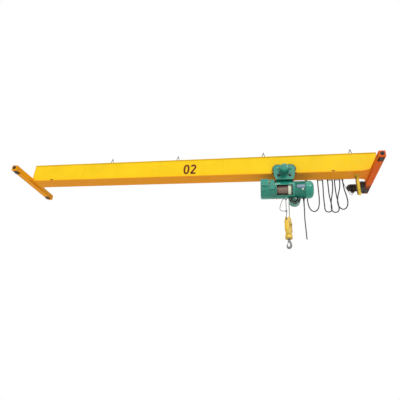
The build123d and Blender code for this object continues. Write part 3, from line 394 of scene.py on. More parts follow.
SLOT_FINISH = {
    "girder_paint": girder_yellow,
    "carriage_paint": carriage_lit_and_shaded_orange,
    "hoist_paint": hoist_green,
    "drive_paint": drive_black,
    "buffer_rubber": buffer_black,
    "wheel_steel": turned_steel,
    "collector_paint": collector_yellow,
    "track_steel": track_zinc,
    "clamp_steel": clamp_dark,
    "cable_sheath": sheath_black,
    "rope_steel": rope_brown,
    "drum_steel": drum_iron,
    "block_paint": block_shade_and_highlight_yellow,
    "hook_steel": hook_grey,
}
for row in frame["record"]["subparts"]:
    node = frame["nodes"][row["node"]]
    node.data.materials.clear()
    node.data.materials.append(SLOT_FINISH[row["material_slot"]])


def refinish(material, *names):
    """Gives nodes of the frame a finish of their own."""
    for name in names:
        frame["nodes"][name].material_slots[0].material = material


for side in ("left", "right"):
    for end in ("front", "rear"):
        refinish(dark_iron, f"trolley_wheel_{end}_{side}")
        refinish(worn_iron, f"wheel_{side}_{end}")
refinish(track_zinc, "tow_arm", "festoon_end_clamp", *(f"festoon_carrier_{number}" for number in (1, 2, 3)))
refinish(hoop_grey, "lifting_hoops")
refinish(stop_brown, "end_stops")
refinish(guide_cast, "rope_guide")
# The motor takes the lighter copy of the hoist green: painted light.
refinish(lit_motor_green, "hoist_motor")
# The right carriage takes the red copy of its paint: painted shade.
refinish(shaded_carriage_red, "end_carriage_right")


# Shapes: points and faces gathered for one piece, then made into one mesh


def basis(axis):
    """A direction of length 1 and two directions square to it."""
    axis = Vector(axis).normalized()
    side = axis.orthogonal().normalized()
    return axis, side, axis.cross(side)


def ring(centre, side, up, radius, around, start=0.0):
    """Points evenly round a circle, from one direction towards the other."""
    points = []
    for k in range(around):
        angle = start + 2 * pi * k / around
        points.append(centre + radius * (side * cos(angle) + up * sin(angle)))
    return points


def at(place, x, y, z):
    """A point at an offset in millimetres from a place."""
    return Vector(place) + Vector((x, y, z)) * MM


def trapezoid(foot, crown, across, foot_half, crown_half):
    """The corners of a bar's section, from the half widths of its foot and its crown."""
    low = across * foot_half * MM
    high = across * crown_half * MM
    return [foot - low, crown - high, crown + high, foot + low]


def inset_outline(outline, distance):
    """An outline that runs counterclockwise, moved inwards."""
    moved = []
    for before, here, after in zip(outline[-1:] + outline, outline, outline[1:] + outline[:1]):
        first = (Vector(here) - Vector(before)).normalized()
        second = (Vector(after) - Vector(here)).normalized()
        normal = Vector((-first.y - second.y, first.x + second.x)).normalized()
        reach = distance / max(0.35, normal.dot(Vector((-first.y, first.x))))
        moved.append(Vector(here) + normal * reach)
    return moved


class Shape:
    """Gathers boxes, turned forms, plates and bolts into the mesh of one piece."""

    planned = []

    def __init__(self, *plan, **options):
        """The plan and options are what piece() is called with, when every form is there."""
        self.verts = []
        self.faces = []
        self.plan = plan
        self.options = options
        if plan:
            Shape.planned.append(self)

    def loft(self, rings, closed_ends=True):
        """Skins a list of rings, each a list of points in the same order."""
        count = len(rings[0])
        faces = []
        for row in range(len(rings) - 1):
            for k in range(count):
                a = row * count + k
                b = row * count + (k + 1) % count
                faces.append((a, b, b + count, a + count))
        if closed_ends:
            faces.append(tuple(reversed(range(count))))
            faces.append(tuple(range((len(rings) - 1) * count, len(rings) * count)))
        base = len(self.verts)
        self.verts.extend(point for points in rings for point in points)
        self.faces.extend(tuple(base + k for k in face) for face in faces)

    def turned(self, origin, axis, profile, around=32):
        """A form turned about an axis: profile holds (distance along the axis, radius)."""
        axis, side, up = basis(axis)
        rings = []
        for along, radius in profile:
            centre = Vector(origin) + axis * along * MM
            rings.append(ring(centre, side, up, max(radius * MM, 1e-5), around))
        self.loft(rings)

    def box(self, corner, opposite, bevel=0):
        """A box between two corners, with chamfered edges."""
        x0, y0, z0 = map(min, corner, opposite)
        x1, y1, z1 = map(max, corner, opposite)
        b = min(bevel * MM, 0.49 * min(x1 - x0, y1 - y0, z1 - z0))
        levels = ((z0, b), (z0 + b, 0), (z1 - b, 0), (z1, b)) if b else ((z0, 0), (z1, 0))
        rings = []
        for z, inset in levels:
            left = x0 + inset
            right = x1 - inset
            near = y0 + inset
            far = y1 - inset
            corners = [
                (left + b, near), (right - b, near), (right, near + b), (right, far - b),
                (right - b, far), (left + b, far), (left, far - b), (left, near + b),
            ]
            rings.append([Vector((x, y, z)) for x, y in (corners if b else corners[::2])])
        self.loft(rings)

    def block(self, place, corner, opposite, bevel):
        """A box between two offsets from a place."""
        self.box(at(place, *corner), at(place, *opposite), bevel)

    def plate(self, outline, origin, x_dir, y_dir, thickness, bevel=0):
        """A flat plate from an outline of (x, y) points, centred on its plane, with chamfered rims."""
        normal = x_dir.cross(y_dir)
        half = thickness / 2
        levels = ((-half, outline), (half, outline))
        if bevel:
            inner = inset_outline(outline, bevel)
            levels = ((-half, inner), (bevel - half, outline), (half - bevel, outline), (half, inner))
        rings = []
        for height, points in levels:
            rings.append([Vector(origin) + (x_dir * x + y_dir * y + normal * height) * MM for x, y in points])
        self.loft(rings)

    def bar(self, centre, axis, out, sections):
        """A bar on a turned body: sections hold (out, along) of the foot and crown, and their half widths."""
        across = axis.cross(out)
        rings = []
        for foot_out, foot_along, crown_out, crown_along, foot_half, crown_half in sections:
            foot = Vector(centre) + (out * foot_out + axis * foot_along) * MM
            crown = Vector(centre) + (out * crown_out + axis * crown_along) * MM
            rings.append(trapezoid(foot, crown, across, foot_half, crown_half))
        self.loft(rings)

    def bars(self, centre, axis, side, count, sections):
        """Bars evenly round an axis."""
        for out in ring(Vector((0, 0, 0)), side, Z, 1, count):
            self.bar(centre, axis, out, sections)

    def hex_bolt(self, place, axis, across, height, washer=True):
        """A hexagon head on its washer, standing on a surface."""
        radius = across / sqrt(3)
        base = 0
        if washer:
            base = 0.18 * height
            rim = radius * 1.25
            self.turned(place, axis, [(0, rim), (base * 0.8, rim), (base, radius * 1.15)], 16)
        top = base + height
        self.turned(place, axis, [(base, radius), (top - 0.15 * height, radius), (top, radius * 0.86)], 6)

    def bolt_circle(self, centre, axis, radius, count, across, height, start=0.0):
        """Hexagon heads evenly round a circle, standing along its axis."""
        for place in ring(Vector(centre), *basis(axis)[1:], radius * MM, count, start):
            self.hex_bolt(place, axis, across, height)

    def mesh(self, name, material):
        """Makes a mesh that is smooth all over."""
        return mesh_piece(name, self.verts, self.faces, material, smooth=True)

    def piece(self, name, body, material, slot, sharp=32.0, bevel=0.0, replaces=None):
        """Makes the mesh and joins it to a body; its slot is not used."""
        obj = mesh_piece(name, self.verts, self.faces, material)
        cleaned = bmesh.new()
        cleaned.from_mesh(obj.data)
        bmesh.ops.recalc_face_normals(cleaned, faces=cleaned.faces)
        cleaned.to_mesh(obj.data)
        cleaned.free()
        if bevel:
            modifier = obj.modifiers.new("soft_edges", "BEVEL")
            modifier.width = bevel * MM
            modifier.segments = 2
            modifier.limit_method = "ANGLE"
            modifier.angle_limit = radians(sharp)
        obj.data.shade_smooth()
        obj.data.set_sharp_from_angle(angle=radians(sharp))
        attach(obj, body)
        if replaces:
            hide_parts(replaces)


# Cables: the same routes as the CAD part, as smooth curves

CLAMP_BOTTOM = underside + 0.05
FESTOON_Y = 0.3
NEAR_Y = FESTOON_Y - 0.018
FAR_Y = FESTOON_Y + 0.018
STRAND_HALF = 0.058
CARRIER_PLACES = (3.335, 3.573, 3.741)
TOW_X = 3.003
END_CLAMP_X = 3.87
LEFT_STRANDS = [x - STRAND_HALF for x in CARRIER_PLACES]
RIGHT_STRANDS = [x + STRAND_HALF for x in CARRIER_PLACES]


def hung(y, left_x, right_x, left_run, right_run):
    """A loop between two clamps: each run holds (x from its clamp, height) in millimetres."""
    points = [(left_x, y, CLAMP_BOTTOM)]
    points += [(left_x + x * MM, y, z * MM) for x, z in left_run]
    points += [(right_x + x * MM, y, z * MM) for x, z in right_run]
    return points + [(right_x, y, CLAMP_BOTTOM)]


LOOPS = [
    hung(
        FESTOON_Y, TOW_X, LEFT_STRANDS[0],
        [(0, -95), (-5, -330), (3, -540), (47, -690), (139, -755)],
        [(-42, -690), (-5, -560), (7, -350), (0, -110)],
    ),
    hung(
        NEAR_Y, RIGHT_STRANDS[0], LEFT_STRANDS[1],
        [(0, -80), (-9, -290), (-8, -460), (-4, -600), (-3, -717), (45, -765)],
        [(-10, -765), (37, -717), (38, -600), (22, -460), (2, -290), (0, -80)],
    ),
    hung(
        FAR_Y, RIGHT_STRANDS[1], LEFT_STRANDS[2],
        [(0, -80), (-36, -280), (-74, -450), (-85, -590), (-83, -707), (-32, -758)],
        [(-12, -758), (39, -707), (40, -590), (26, -450), (6, -280), (0, -80)],
    ),
    hung(
        NEAR_Y, RIGHT_STRANDS[2], END_CLAMP_X,
        [(0, -40), (-47, -230), (-93, -390), (-107, -530), (-74, -650), (9, -712)],
        [(28, -655), (68, -520), (48, -330), (0, -100)],
    ),
]


def route_line(name, points):
    """The points along a smooth route, read from a NURBS curve with the given control points."""
    curve = bpy.data.curves.new(name + "_route", "CURVE")
    curve.dimensions = "3D"
    curve.resolution_u = 10
    spline = curve.splines.new("NURBS")
    spline.points.add(len(points) - 1)
    for place, point in zip(spline.points, points):
        place.co = (*point, 1.0)
    spline.order_u = 3
    spline.use_endpoint_u = True
    holder = link(bpy.data.objects.new(name + "_route", curve))
    bpy.context.view_layer.update()
    line = bpy.data.meshes.new_from_object(holder)
    path = [v.co.copy() for v in line.vertices]
    bpy.data.objects.remove(holder)
    bpy.data.meshes.remove(line)
    return path


def frames_along(path):
    """A pair of side directions at each point of a path, carried along without twist."""
    sides = []
    side = None
    for index in range(len(path)):
        after = path[min(index + 1, len(path) - 1)]
        ahead = (after - path[max(index - 1, 0)]).normalized()
        if side is None:
            side = ahead.orthogonal().normalized()
        side = (side - ahead * side.dot(ahead)).normalized()
        sides.append((side, ahead.cross(side).normalized()))
    return sides


def tube(name, path, radius, first=0, last=None):
    """A round cable along a path of points, or along its points from the first to the last named."""
    cable = Shape()
    sections = list(zip(path, frames_along(path)))[first:last]
    cable.loft([ring(point, side, up, radius, 12) for point, (side, up) in sections])
    return cable.mesh(name, sheath_black)


def declare_cord(node):
    """Hides a cable's CAD node, where a smooth cable takes its place."""
    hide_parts(node)


# Loop 1 hangs from the trolley and carrier 1, which no joint joins, so it is two pieces that meet at
# its lowest point. Carrier 1 makes three quarters of the trolley's travel.
FESTOON_RADIUS = 0.0135
path = route_line("festoon_cable_1", LOOPS[0])
low_point = min(range(len(path)), key=lambda k: path[k].z)
towed = tube("festoon_cable_1", path, FESTOON_RADIUS, last=low_point + 1)
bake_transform(towed)
declare_cord("festoon_loop_1")
carried = tube("festoon_cable_1_far_half", path, FESTOON_RADIUS, first=low_point)
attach(carried, "festoon_carrier_1")
declare_cord("festoon_loop_1")

# The other loops are each one cable. Each row holds the bodies at the right and the left end, and half
# the width of the lowest stretch.
LOOP_OPENINGS = (
    ("festoon_carrier_2", "festoon_carrier_1", 0.018),
    ("festoon_carrier_3", "festoon_carrier_2", 0.012),
    ("bridge", "festoon_carrier_3", 0.018),
)
for number, (points, opening) in enumerate(zip(LOOPS[1:], LOOP_OPENINGS), start=2):
    right_holder, left_holder, half = opening
    path = route_line(f"festoon_cable_{number}", points)
    cable = tube(f"festoon_cable_{number}", path, FESTOON_RADIUS)
    lowest = min(path, key=lambda point: point.z)
    across = Y.cross((path[0] + path[-1]) / 2 - lowest).normalized() * half
    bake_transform(cable)
    declare_cord(f"festoon_loop_{number}")

SHEAVE_RADIUS = 0.105
FALL_HALF = 0.039
FALL_Y = sqrt(SHEAVE_RADIUS**2 - FALL_HALF**2)
LAY_RADIUS = 0.1395
DRUM_Y = FALL_Y - LAY_RADIUS
HOIST_Z = underside - 0.39
ANCHOR = (HOOK_X - FALL_HALF, -FALL_Y, HOIST_Z - 0.283)
CLIP = (HOOK_X - FALL_HALF, -FALL_Y, underside - 0.97)
GLAND_X = 2.879
LEAD = (4.16, 0.665, underside - 0.116)


def route(place, *offsets):
    """Points at offsets in millimetres from a place."""
    return [tuple(a + b * MM for a, b in zip(place, offset)) for offset in offsets]


MOTOR_LEAD = route(LEAD, (0, 0, 0), (0, 0, -60), (-60, -80, -120), (-120, -180, -110)) + [
    (END_CLAMP_X + 0.09, FESTOON_Y + 0.1, LEAD[2] - 0.03),
    (END_CLAMP_X + 0.01, FAR_Y, CLAMP_BOTTOM - 0.07),
    (END_CLAMP_X + 0.01, FAR_Y, CLAMP_BOTTOM),
]
PENDANT = route(
    (GLAND_X, DRUM_Y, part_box("pendant_gland")[0].z),
    (0, 0, 0), (0, 0, -154), (-6, 0, -314), (2, 0, -484), (8, 0, -664), (14, 0, -826),
)
TAIL_ROPE = route(ANCHOR, (-22, 0, 24), (-66, 0, 24), (-100, 0, -52), (-136, 0, -162))
TAIL_ROPE += route(CLIP, (-150, 0, 58), (-126, 0, 7), (-66, 0, 0), (-18, 0, 0))
for name, node, body, points, radius, far_end in (
    ("travel_motor_lead", "motor_lead", "bridge", MOTOR_LEAD, 0.006, "object"),
    ("pendant_control_cable", "pendant_cable", "trolley", PENDANT, 0.0125, "bare"),
    ("slack_limit_rope", "tail_rope", "trolley", TAIL_ROPE, 0.0062, "object"),
):
    path = route_line(name, points)
    cable = tube(name, path, radius)
    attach(cable, body)
    declare_cord(node)


def strand_rope(name, start, end, radius, pitch=0.095):
    """A straight laid rope: six strands twisted round a core, from start to end."""
    along, side, up = basis(end - start)
    length = (end - start).length
    steps = max(8, int(length / pitch * 14))
    strand_radius = radius * 0.36
    rope = Shape()
    for strand in range(6):
        rings = []
        for step in range(steps + 1):
            distance = length * step / steps
            turn = pi * strand / 3 + 2 * pi * distance / pitch
            out = side * cos(turn) + up * sin(turn)
            across = (along * 0.9 - side * sin(turn) * 0.4 + up * cos(turn) * 0.4).normalized()
            centre = start + along * distance + out * (radius - strand_radius)
            rings.append(ring(centre, out, across.cross(out).normalized(), strand_radius, 8))
        rope.loft(rings)
    return rope.mesh(name, rope_brown)


for node, side in (("rope_fall_hoisting", 1), ("rope_fall_anchored", -1)):
    low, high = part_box(node)
    upper = Vector((HOOK_X + side * FALL_HALF, side * FALL_Y, high.z))
    lower = Vector((HOOK_X + side * FALL_HALF, side * FALL_Y, low.z))
    rope = strand_rope(node + "_strands", upper, lower, 0.009)
    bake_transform(rope)
    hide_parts(node)


# Details that are too fine for the CAD part, one body after the other


def weld_bead(shape, start, end, radius, seed, step=0.02):
    """A weld bead with its ripples, along a straight line."""
    start = Vector(start)
    length = (Vector(end) - start).length
    along, side, up = basis(Vector(end) - start)
    pick = random.Random(seed)
    rings = []
    for k in range(max(4, int(length / step)) + 1):
        size = radius * (1 + 0.15 * sin(2.3 * k) + pick.uniform(-0.1, 0.1))
        rings.append(ring(start + along * min(k * step, length), side, up, size, 6))
    shape.loft(rings)


def outward(degrees):
    """The direction away from an axis along X: 0 degrees faces the viewed side and 90 the top."""
    angle = radians(degrees)
    return Vector((0, -cos(angle), sin(angle)))


def rib(shape, start, length, degrees, radius, height, width):
    """A straight rib along X that stands out of a cylinder, with a tapered crown."""
    sections = []
    for along, share in ((0, 0.35), (height, 1), (length - height, 1), (length, 0.35)):
        sections.append((radius - 4, along, radius + height * share, along, width / 2, width * 0.32))
    shape.bar(start, X, outward(degrees), sections)


def fuller(value, power):
    """A sine or cosine moved towards -1 and 1, which makes a circle fuller at its corners."""
    return copysign(abs(value) ** power, value)


# Girder: weld beads, edge splices and the number on the front web
WEBS = (web_front, web_rear)
FLANGE_TOP = flange_high.z
TOP_UNDER = top_low.z
INNER = flange_high.x
beads = Shape("girder_weld_beads", "bridge", girder_yellow, "girder_paint")
runs = [(y, FLANGE_TOP, -INNER, INNER) for y in WEBS]
runs += [(y, TOP_UNDER, top_low.x, top_high.x) for y in WEBS]
for seed, (y, z, x0, x1) in enumerate(runs):
    beads.box((x0, y - 0.001, z - 0.001), (x1, y + 0.001, z + 0.001))
    weld_bead(beads, (x0 + 0.002, y, z), (x1 - 0.002, y, z), 0.0055, seed)

seams = Shape("girder_web_seams", "bridge", girder_yellow, "girder_paint")
for x, seed in ((-2.95, 11), (0.92, 12)):
    for y in WEBS:
        weld_bead(seams, (x, y, FLANGE_TOP + 0.003), (x, y, TOP_UNDER - 0.003), 0.0028, seed, 0.01)

BEAD_INSET = 0.005
foot_beads = Shape("carriage_joint_beads", "bridge", carriage_lit_and_shaded_orange, "carriage_paint")
for sign, end_x in ((-1, top_low.x + BEAD_INSET), (1, top_high.x - BEAD_INSET)):
    for z in (underside, FLANGE_TOP):
        weld_bead(foot_beads, (sign * INNER, -0.345, z), (sign * INNER, 0.345, z), 0.005, 20 + sign, 0.012)
    for y in WEBS:
        weld_bead(foot_beads, (end_x, y, 0.175), (end_x, y, TOP_UNDER), 0.003, 30 + sign, 0.012)

MARK_Z = 0.315
MARK_FOOT = MARK_Z - 0.12
MARK_HALF_WIDTH = 24


def brush_stroke(shape, path, closed=False):
    """A flat painted stroke on the front web: path holds (x, z) points."""
    rings = []
    depth = Y * 0.0008
    for k, here in enumerate(path):
        before = path[k - 1] if closed or k else here
        after = path[(k + 1) % len(path)] if closed or k < len(path) - 1 else here
        ahead = (Vector(after) - Vector(before)).normalized()
        place = Vector((here[0], web_front - 0.0006, here[1]))
        side = Vector((-ahead.y, 0, ahead.x))
        rings.append(trapezoid(place + depth, place - depth, side, MARK_HALF_WIDTH, MARK_HALF_WIDTH))
    if closed:
        rings.append(rings[0])
    shape.loft(rings, closed_ends=not closed)


mark = Shape("girder_number_mark", "bridge", mark_paint, "girder_paint")
zero = []
for k in range(40):
    angle = 2 * pi * k / 40
    zero.append((0.055 * fuller(cos(angle), 0.8) - 0.035, MARK_Z + 0.12 * fuller(sin(angle), 0.8)))
brush_stroke(mark, zero, closed=True)
two = []
for k in range(13):
    angle = radians(165 - 200 * k / 12)
    two.append((0.145 + 0.054 * cos(angle), MARK_Z + 0.062 + 0.058 * sin(angle)))
brush_stroke(mark, two + [(0.15, MARK_Z - 0.03), (0.092, MARK_FOOT + 0.004)])
brush_stroke(mark, [(0.078, MARK_FOOT), (0.212, MARK_FOOT)])

# End carriages: axle keepers, domed buffers and bolts
CARRIAGE_X = 4.5
AXLE_Z = 0.068
WHEEL_Y = 0.75
keepers = Shape("axle_keepers", "bridge", carriage_lit_and_shaded_orange, "carriage_paint")
keeper_bolts = Shape("axle_keeper_bolts", "bridge", bolt_steel, "clamp_steel")
for sign in SIGNS:
    for side, end in CORNERS:
        behind_gearbox = sign > 0 and side < 0 and end > 0
        outermost = sign < 0 and side < 0
        if behind_gearbox or outermost:
            continue
        centre = Vector((sign * CARRIAGE_X + side * 0.07, end * WHEEL_Y, AXLE_Z))
        out = X * side
        keepers.turned(centre, out, [(-2, 34), (4, 34), (6, 32)], 28)
        keepers.turned(centre, out, [(5, 17), (9, 17), (11, 14)], 24)
        for shift in (-48, 48):
            keepers.block(centre, (-side, shift - 14, -16), (6 * side, shift + 14, 16), 2)
            keeper_bolts.hex_bolt(at(centre, 6 * side, shift, 0), out, 13, 6)

DOME = [(0, 46), (5, 46), (6, 40), (12, 41), (18, 39), (23, 34), (26, 26), (27.6, 14), (28, 0)]
domes = Shape("domed_buffers", "bridge", buffer_black, "buffer_rubber", sharp=50, replaces="buffers")
for sign, end in CORNERS:
    domes.turned((sign * CARRIAGE_X, end * 0.888, 0.09), Y * end, DOME, 36)

# Travel drive: parting flange, covers, cooling ribs, fan cowl and terminal lid
DRIVE_Y = 0.665
DRIVE_Z = 0.078
INPUT = (4.3, 0.52, DRIVE_Z)


def stadium(radius, steps):
    """The gearbox's outline as (y, z) points in millimetres, at a distance from its two centres."""
    points = []
    for y, z, first in ((750, 68, -90), (520, 78, 90)):
        for k in range(steps + 1):
            angle = radians(first + 180 * k / steps)
            points.append((y + radius * cos(angle), z + radius * sin(angle)))
    return points


drive = Shape("travel_drive_covers", "bridge", drive_black, "drive_paint")
drive.plate(stadium(100, 18), (4.372, 0, 0), Y, Z, 14, 2)
drive.turned(INPUT, -X, [(-2, 60), (6, 60), (10, 54), (14, 30)], 36)
drive.turned((4.3, 0.762, 0.062), -X, [(-2, 30), (4, 30), (6, 26)], 28)
for k in range(20):
    degrees = 18 * k + 9
    if abs(degrees - 270) >= 35:
        rib(drive, (4.098, DRIVE_Y, DRIVE_Z), 170, degrees, 83, 10, 4)
drive.turned((4.07, DRIVE_Y, DRIVE_Z), -X, [(-6, 87), (4, 87), (7, 82)], 40)
drive.bars((4.026, DRIVE_Y, DRIVE_Z), X, Y, 14, [(26, 0, 30, -4, 3, 3), (73, 38, 77, 34, 3, 3)])
drive.box((4.117, 0.632, -0.05), (4.203, 0.698, -0.044), 2)

drive_bolts = Shape("travel_drive_bolts", "bridge", bolt_steel, "clamp_steel")
for y, z in stadium(93.5, 6):
    drive_bolts.hex_bolt(at((4.365, 0, 0), 0, y, z), -X, 8, 5)
drive_bolts.bolt_circle(at(INPUT, -7, 0, 0), -X, 46, 6, 8, 5)
for x in (4.124, 4.196):
    for y in (0.639, 0.691):
        drive_bolts.turned((x, y, -0.05), -Z, [(-1, 3.5), (2, 3.5), (3, 2.5)], 12)

relief = Shape("travel_motor_strain_relief", "bridge", sheath_black, "cable_sheath")
relief.turned((4.16, 0.665, -0.048), -Z, [(0, 13), (8, 13), (12, 10), (34, 6.8), (36, 6.2)], 20)

# Collector bar: foot bolts, a stiffening spine and its clips
COLLECTOR = (4.145, 0, 0)
INSULATOR = [(0, 8), (3, 15), (8, 16), (12, 10), (16, 16), (21, 15), (24, 8)]
spine = Shape("collector_spine", "bridge", collector_yellow, "collector_paint")
spine.block(COLLECTOR, (-9, -9, -462), (9, -3, 58), 2)
for k in range(5):
    z = 10 - 110 * k
    spine.block(COLLECTOR, (-22, -11, z - 8), (22, 11, z + 8), 2)
insulators = Shape("collector_insulators", "bridge", insulator_brown, "clamp_steel")
for k in range(12):
    insulators.turned(at(COLLECTOR, -36, -8, 30 - 42 * k), -Z, INSULATOR, 20)
foot_bolts = Shape("collector_foot_bolts", "bridge", bolt_steel, "clamp_steel")
for x, y in CORNERS:
    foot_bolts.hex_bolt(at(COLLECTOR, 34 * x, 34 * y, 62), -Z, 13, 7)

# Festoon: boots at the clamps, carrier cheeks, track saddles and arm brackets
BOOT = [(0, 15.8), (10, 15.8), (12, 15.2), (22, 14.9), (30, 14.3), (32, 13.8)]


def cable_boots(name, body, *places):
    """Tapered rubber boots where cables leave a clamp downwards: each place holds x, y and a profile."""
    boots = Shape(name, body, sheath_black, "cable_sheath")
    for x, y, profile in places:
        boots.turned((x, y, CLAMP_BOTTOM + 0.001), -Z, profile, 20)


LEFT_Y = (FESTOON_Y, NEAR_Y, FAR_Y)
RIGHT_Y = (NEAR_Y, FAR_Y, NEAR_Y)
for k, carrier_x in enumerate(CARRIER_PLACES):
    number = k + 1
    body = f"festoon_carrier_{number}"
    boot_places = ((LEFT_STRANDS[k], LEFT_Y[k], BOOT), (RIGHT_STRANDS[k], RIGHT_Y[k], BOOT))
    cable_boots(f"carrier_boots_{number}", body, *boot_places)
    clamp = (carrier_x, FESTOON_Y, CLAMP_BOTTOM)
    cheeks = Shape(f"carrier_cheeks_{number}", body, track_zinc, "clamp_steel")
    screws = Shape(f"carrier_bolts_{number}", body, bolt_steel, "clamp_steel")
    for side in SIGNS:
        cheeks.block(clamp, (-64, 32 * side, 3), (64, 36 * side, 31), 1.5)
        for x in (-45, 0, 45):
            screws.hex_bolt(at(clamp, x, 36 * side, 17), Y * side, 10, 5)
    cheeks.block(clamp, (-40, -12, 32), (40, 12, 41), 3)

LEAD_BOOT = [(along * 0.9, radius * 0.66) for along, radius in BOOT]
cable_boots("tow_arm_boot", "trolley", (TOW_X, FESTOON_Y, BOOT))
cable_boots("end_clamp_boots", "bridge", (END_CLAMP_X, NEAR_Y, BOOT), (END_CLAMP_X + 0.01, FAR_Y, LEAD_BOOT))

track_low, track_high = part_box("festoon_track")
ARM_PITCH = (track_high.x - track_low.x - 0.3) / 4
arms = Shape("festoon_arm_brackets", "bridge", girder_yellow, "girder_paint")
arm_bolts = Shape("festoon_arm_bolts", "bridge", bolt_steel, "clamp_steel")
for k in range(5):
    arm_x = track_low.x + 0.15 + k * ARM_PITCH
    track = (arm_x, FESTOON_Y, track_high.z)
    foot = (arm_x, web_rear, 0)
    track_depth = (track_low.z - track_high.z) / MM
    for side in SIGNS:
        arms.block(track, (-30, 20 * side, track_depth + 6), (30, 24 * side, 4), 1.2)
        arm_bolts.hex_bolt(at(track, 0, 24 * side, -14), Y * side, 10, 5)
    arms.block(track, (-30, -24, 0), (30, 24, 4), 1.2)
    arms.plate([(0, 285), (0, 360), (105, 360), (90, 348), (12, 285)], foot, Y, Z, 8)
    arms.block(foot, (-34, -1, 276), (34, 5, 392), 1.5)
    for x in (-22, 22):
        for z in (290, 382):
            arm_bolts.hex_bolt(at(foot, x, 5, z), Y, 11, 6)
    arm_bolts.hex_bolt((arm_x, FESTOON_Y + 0.006, 0.33), Y, 13, 7)

# Trolley: hub caps, pin washers and nuts, wheel teeth, motor ribs and cowl, bumper feet
TROLLEY_X = 2.443
TROLLEY_AXLE_Z = FLANGE_TOP + 0.1 + 0.0003
PLATE_OUTER = 0.231
PIN_Z = underside - 0.074
caps = Shape("trolley_hub_caps", "trolley", hoist_green, "hoist_paint")
nuts = Shape("trolley_pin_nuts", "trolley", dark_iron, "wheel_steel")
hub_bolts = Shape("trolley_hub_bolts", "trolley", dark_iron, "wheel_steel")
# The pin washers are in the darkened green: painted shade round the pins.
washers = Shape("trolley_pin_washers", "trolley", shaded_green, "hoist_paint")
bumpers = Shape(
    "ribbed_bumpers", "trolley", buffer_black, "buffer_rubber", sharp=50, replaces="trolley_bumpers"
)
feet = Shape("bumper_feet", "trolley", dark_iron, "wheel_steel")
# The plate rims along the lower edges are in the pale green: painted highlight.
stiffeners = Shape("trolley_plate_rims", "trolley", worn_and_highlight_green, "hoist_paint")
BUMPER = [(0, 14.5)]
for along in (8, 19, 30):
    BUMPER += [(along, 14.5), (along + 3, 15.8), (along + 6, 15.8), (along + 9, 13)]
BUMPER += [(42, 12), (45, 7)]
for side, end in CORNERS:
    out = Y * side
    hub = Vector((TROLLEY_X + end * 0.15, side * PLATE_OUTER, TROLLEY_AXLE_Z))
    caps.turned(hub, out, [(-1, 38), (5, 38), (8, 34), (10, 22), (13, 20)])
    hub_bolts.bolt_circle(hub + out * 0.004, out, 30.5, 4, 6, 4, start=0.4)
    pin = (TROLLEY_X + end * 0.136, side * PLATE_OUTER, PIN_Z)
    washers.turned(pin, out, [(-1, 39), (2.5, 39), (3.5, 37)], 36)
    nuts.turned(pin, out, [(3, 30), (10, 30), (12, 28)], 6)
    nuts.turned(pin, out, [(10, 21.5), (19, 21.5), (21, 18)], 6)
    nuts.turned(pin, out, [(20, 13), (26, 13), (28, 11)], 20)
    bumper = (TROLLEY_X + end * 0.25, side * 0.223, underside - 0.02)
    feet.turned(bumper, X * end, [(-1, 22), (4, 22), (6, 19)], 24)
    bumpers.turned(bumper, X * end, BUMPER, 24)
for side in SIGNS:
    stiffeners.block((TROLLEY_X, side * PLATE_OUTER, underside), (-196, 0, -188), (196, 10 * side, -178), 2.5)

TOOTH = [(126, 0, 126, -7, 4.2, 4.2), (133, 0, 133, -7, 3, 3), (137.5, 0, 137.5, -7, 1.6, 1.6)]
for place, x in (("left", TROLLEY_X - 0.15), ("right", TROLLEY_X + 0.15)):
    teeth = Shape(f"wheel_teeth_{place}", f"trolley_wheel_front_{place}", dark_iron, "wheel_steel")
    wheel = (x, -0.2035, TROLLEY_AXLE_Z)
    teeth.turned(wheel, -Y, [(0, 128), (7, 128)], 56)
    teeth.bars(wheel, Y, X, 56, TOOTH)

MOTOR = (TROLLEY_X, 0, underside + 0.038)
FIN = [(101, 0, 106, 0), (101, -6, 112, -6), (101, -87, 112, -87), (101, -93, 106, -93)]
fins = Shape("trolley_motor_ribs", "trolley", hoist_green, "hoist_paint")
fins.bars(at(MOTOR, 0, -275, 0), Y, X, 28, [(*section, 2.8, 1.6) for section in FIN])
fins.turned(at(MOTOR, 0, -374, 0), -Y, [(0, 103.5), (1, 107.5), (10, 107.5), (12, 103.5)], 56)
fins.turned(at(MOTOR, 0, -261, 0), -Y, [(-2, 110), (3, 110), (6, 106)], 56)
fins.turned(at(MOTOR, 0, -231, 0), -Y, [(0, 126.5), (7, 126.5), (9, 122.5)], 64)
cowl = at(MOTOR, 0, -445.5, 0)
fins.bars(cowl, Y, X, 12, [(22, 2, 22, -2, 2, 1.2), (56, 2, 56, -2, 2, 1.2)])
fins.turned(cowl, -Y, [(-1, 20), (2.5, 20), (4, 16)], 24)
gear_bolts = Shape("trolley_gear_bolts", "trolley", bolt_steel, "clamp_steel")
gear_bolts.bolt_circle(at(MOTOR, 0, -260, 0), -Y, 116, 10, 9, 5, start=0.3)

# Hoist: rings, window lip, covers, ribs, plates and screws
CASING_X0 = 2.235
CASING_X1 = 2.64
HOIST_R = 213


def on_hoist(x, radius=0, degrees=0):
    """A point around the hoist's axis, with its radius in millimetres."""
    return Vector((x, DRUM_Y, HOIST_Z)) + outward(degrees) * radius * MM


def curved_panel(shape, x0, x1, low, high, radius, thickness, bevel):
    """A panel round the hoist's axis, between two angles, with chamfered rims."""
    steps = max(4, int(abs(high - low) / 4))
    turn = bevel / radius * 180 / pi
    rim = bevel * MM
    rings = []
    for k in range(-1, steps + 2):
        degrees = low + (high - low) * min(max(k / steps, 0), 1)
        top = radius + thickness
        if k in (-1, steps + 1):
            top -= bevel
        elif k in (0, steps):
            degrees += turn if k == 0 else -turn
        section = [(x0, radius - 4), (x0, top - bevel), (x0 + rim, top)]
        section += [(x1 - rim, top), (x1, top - bevel), (x1, radius - 4)]
        rings.append([on_hoist(x, height, degrees) for x, height in section])
    shape.loft(rings)


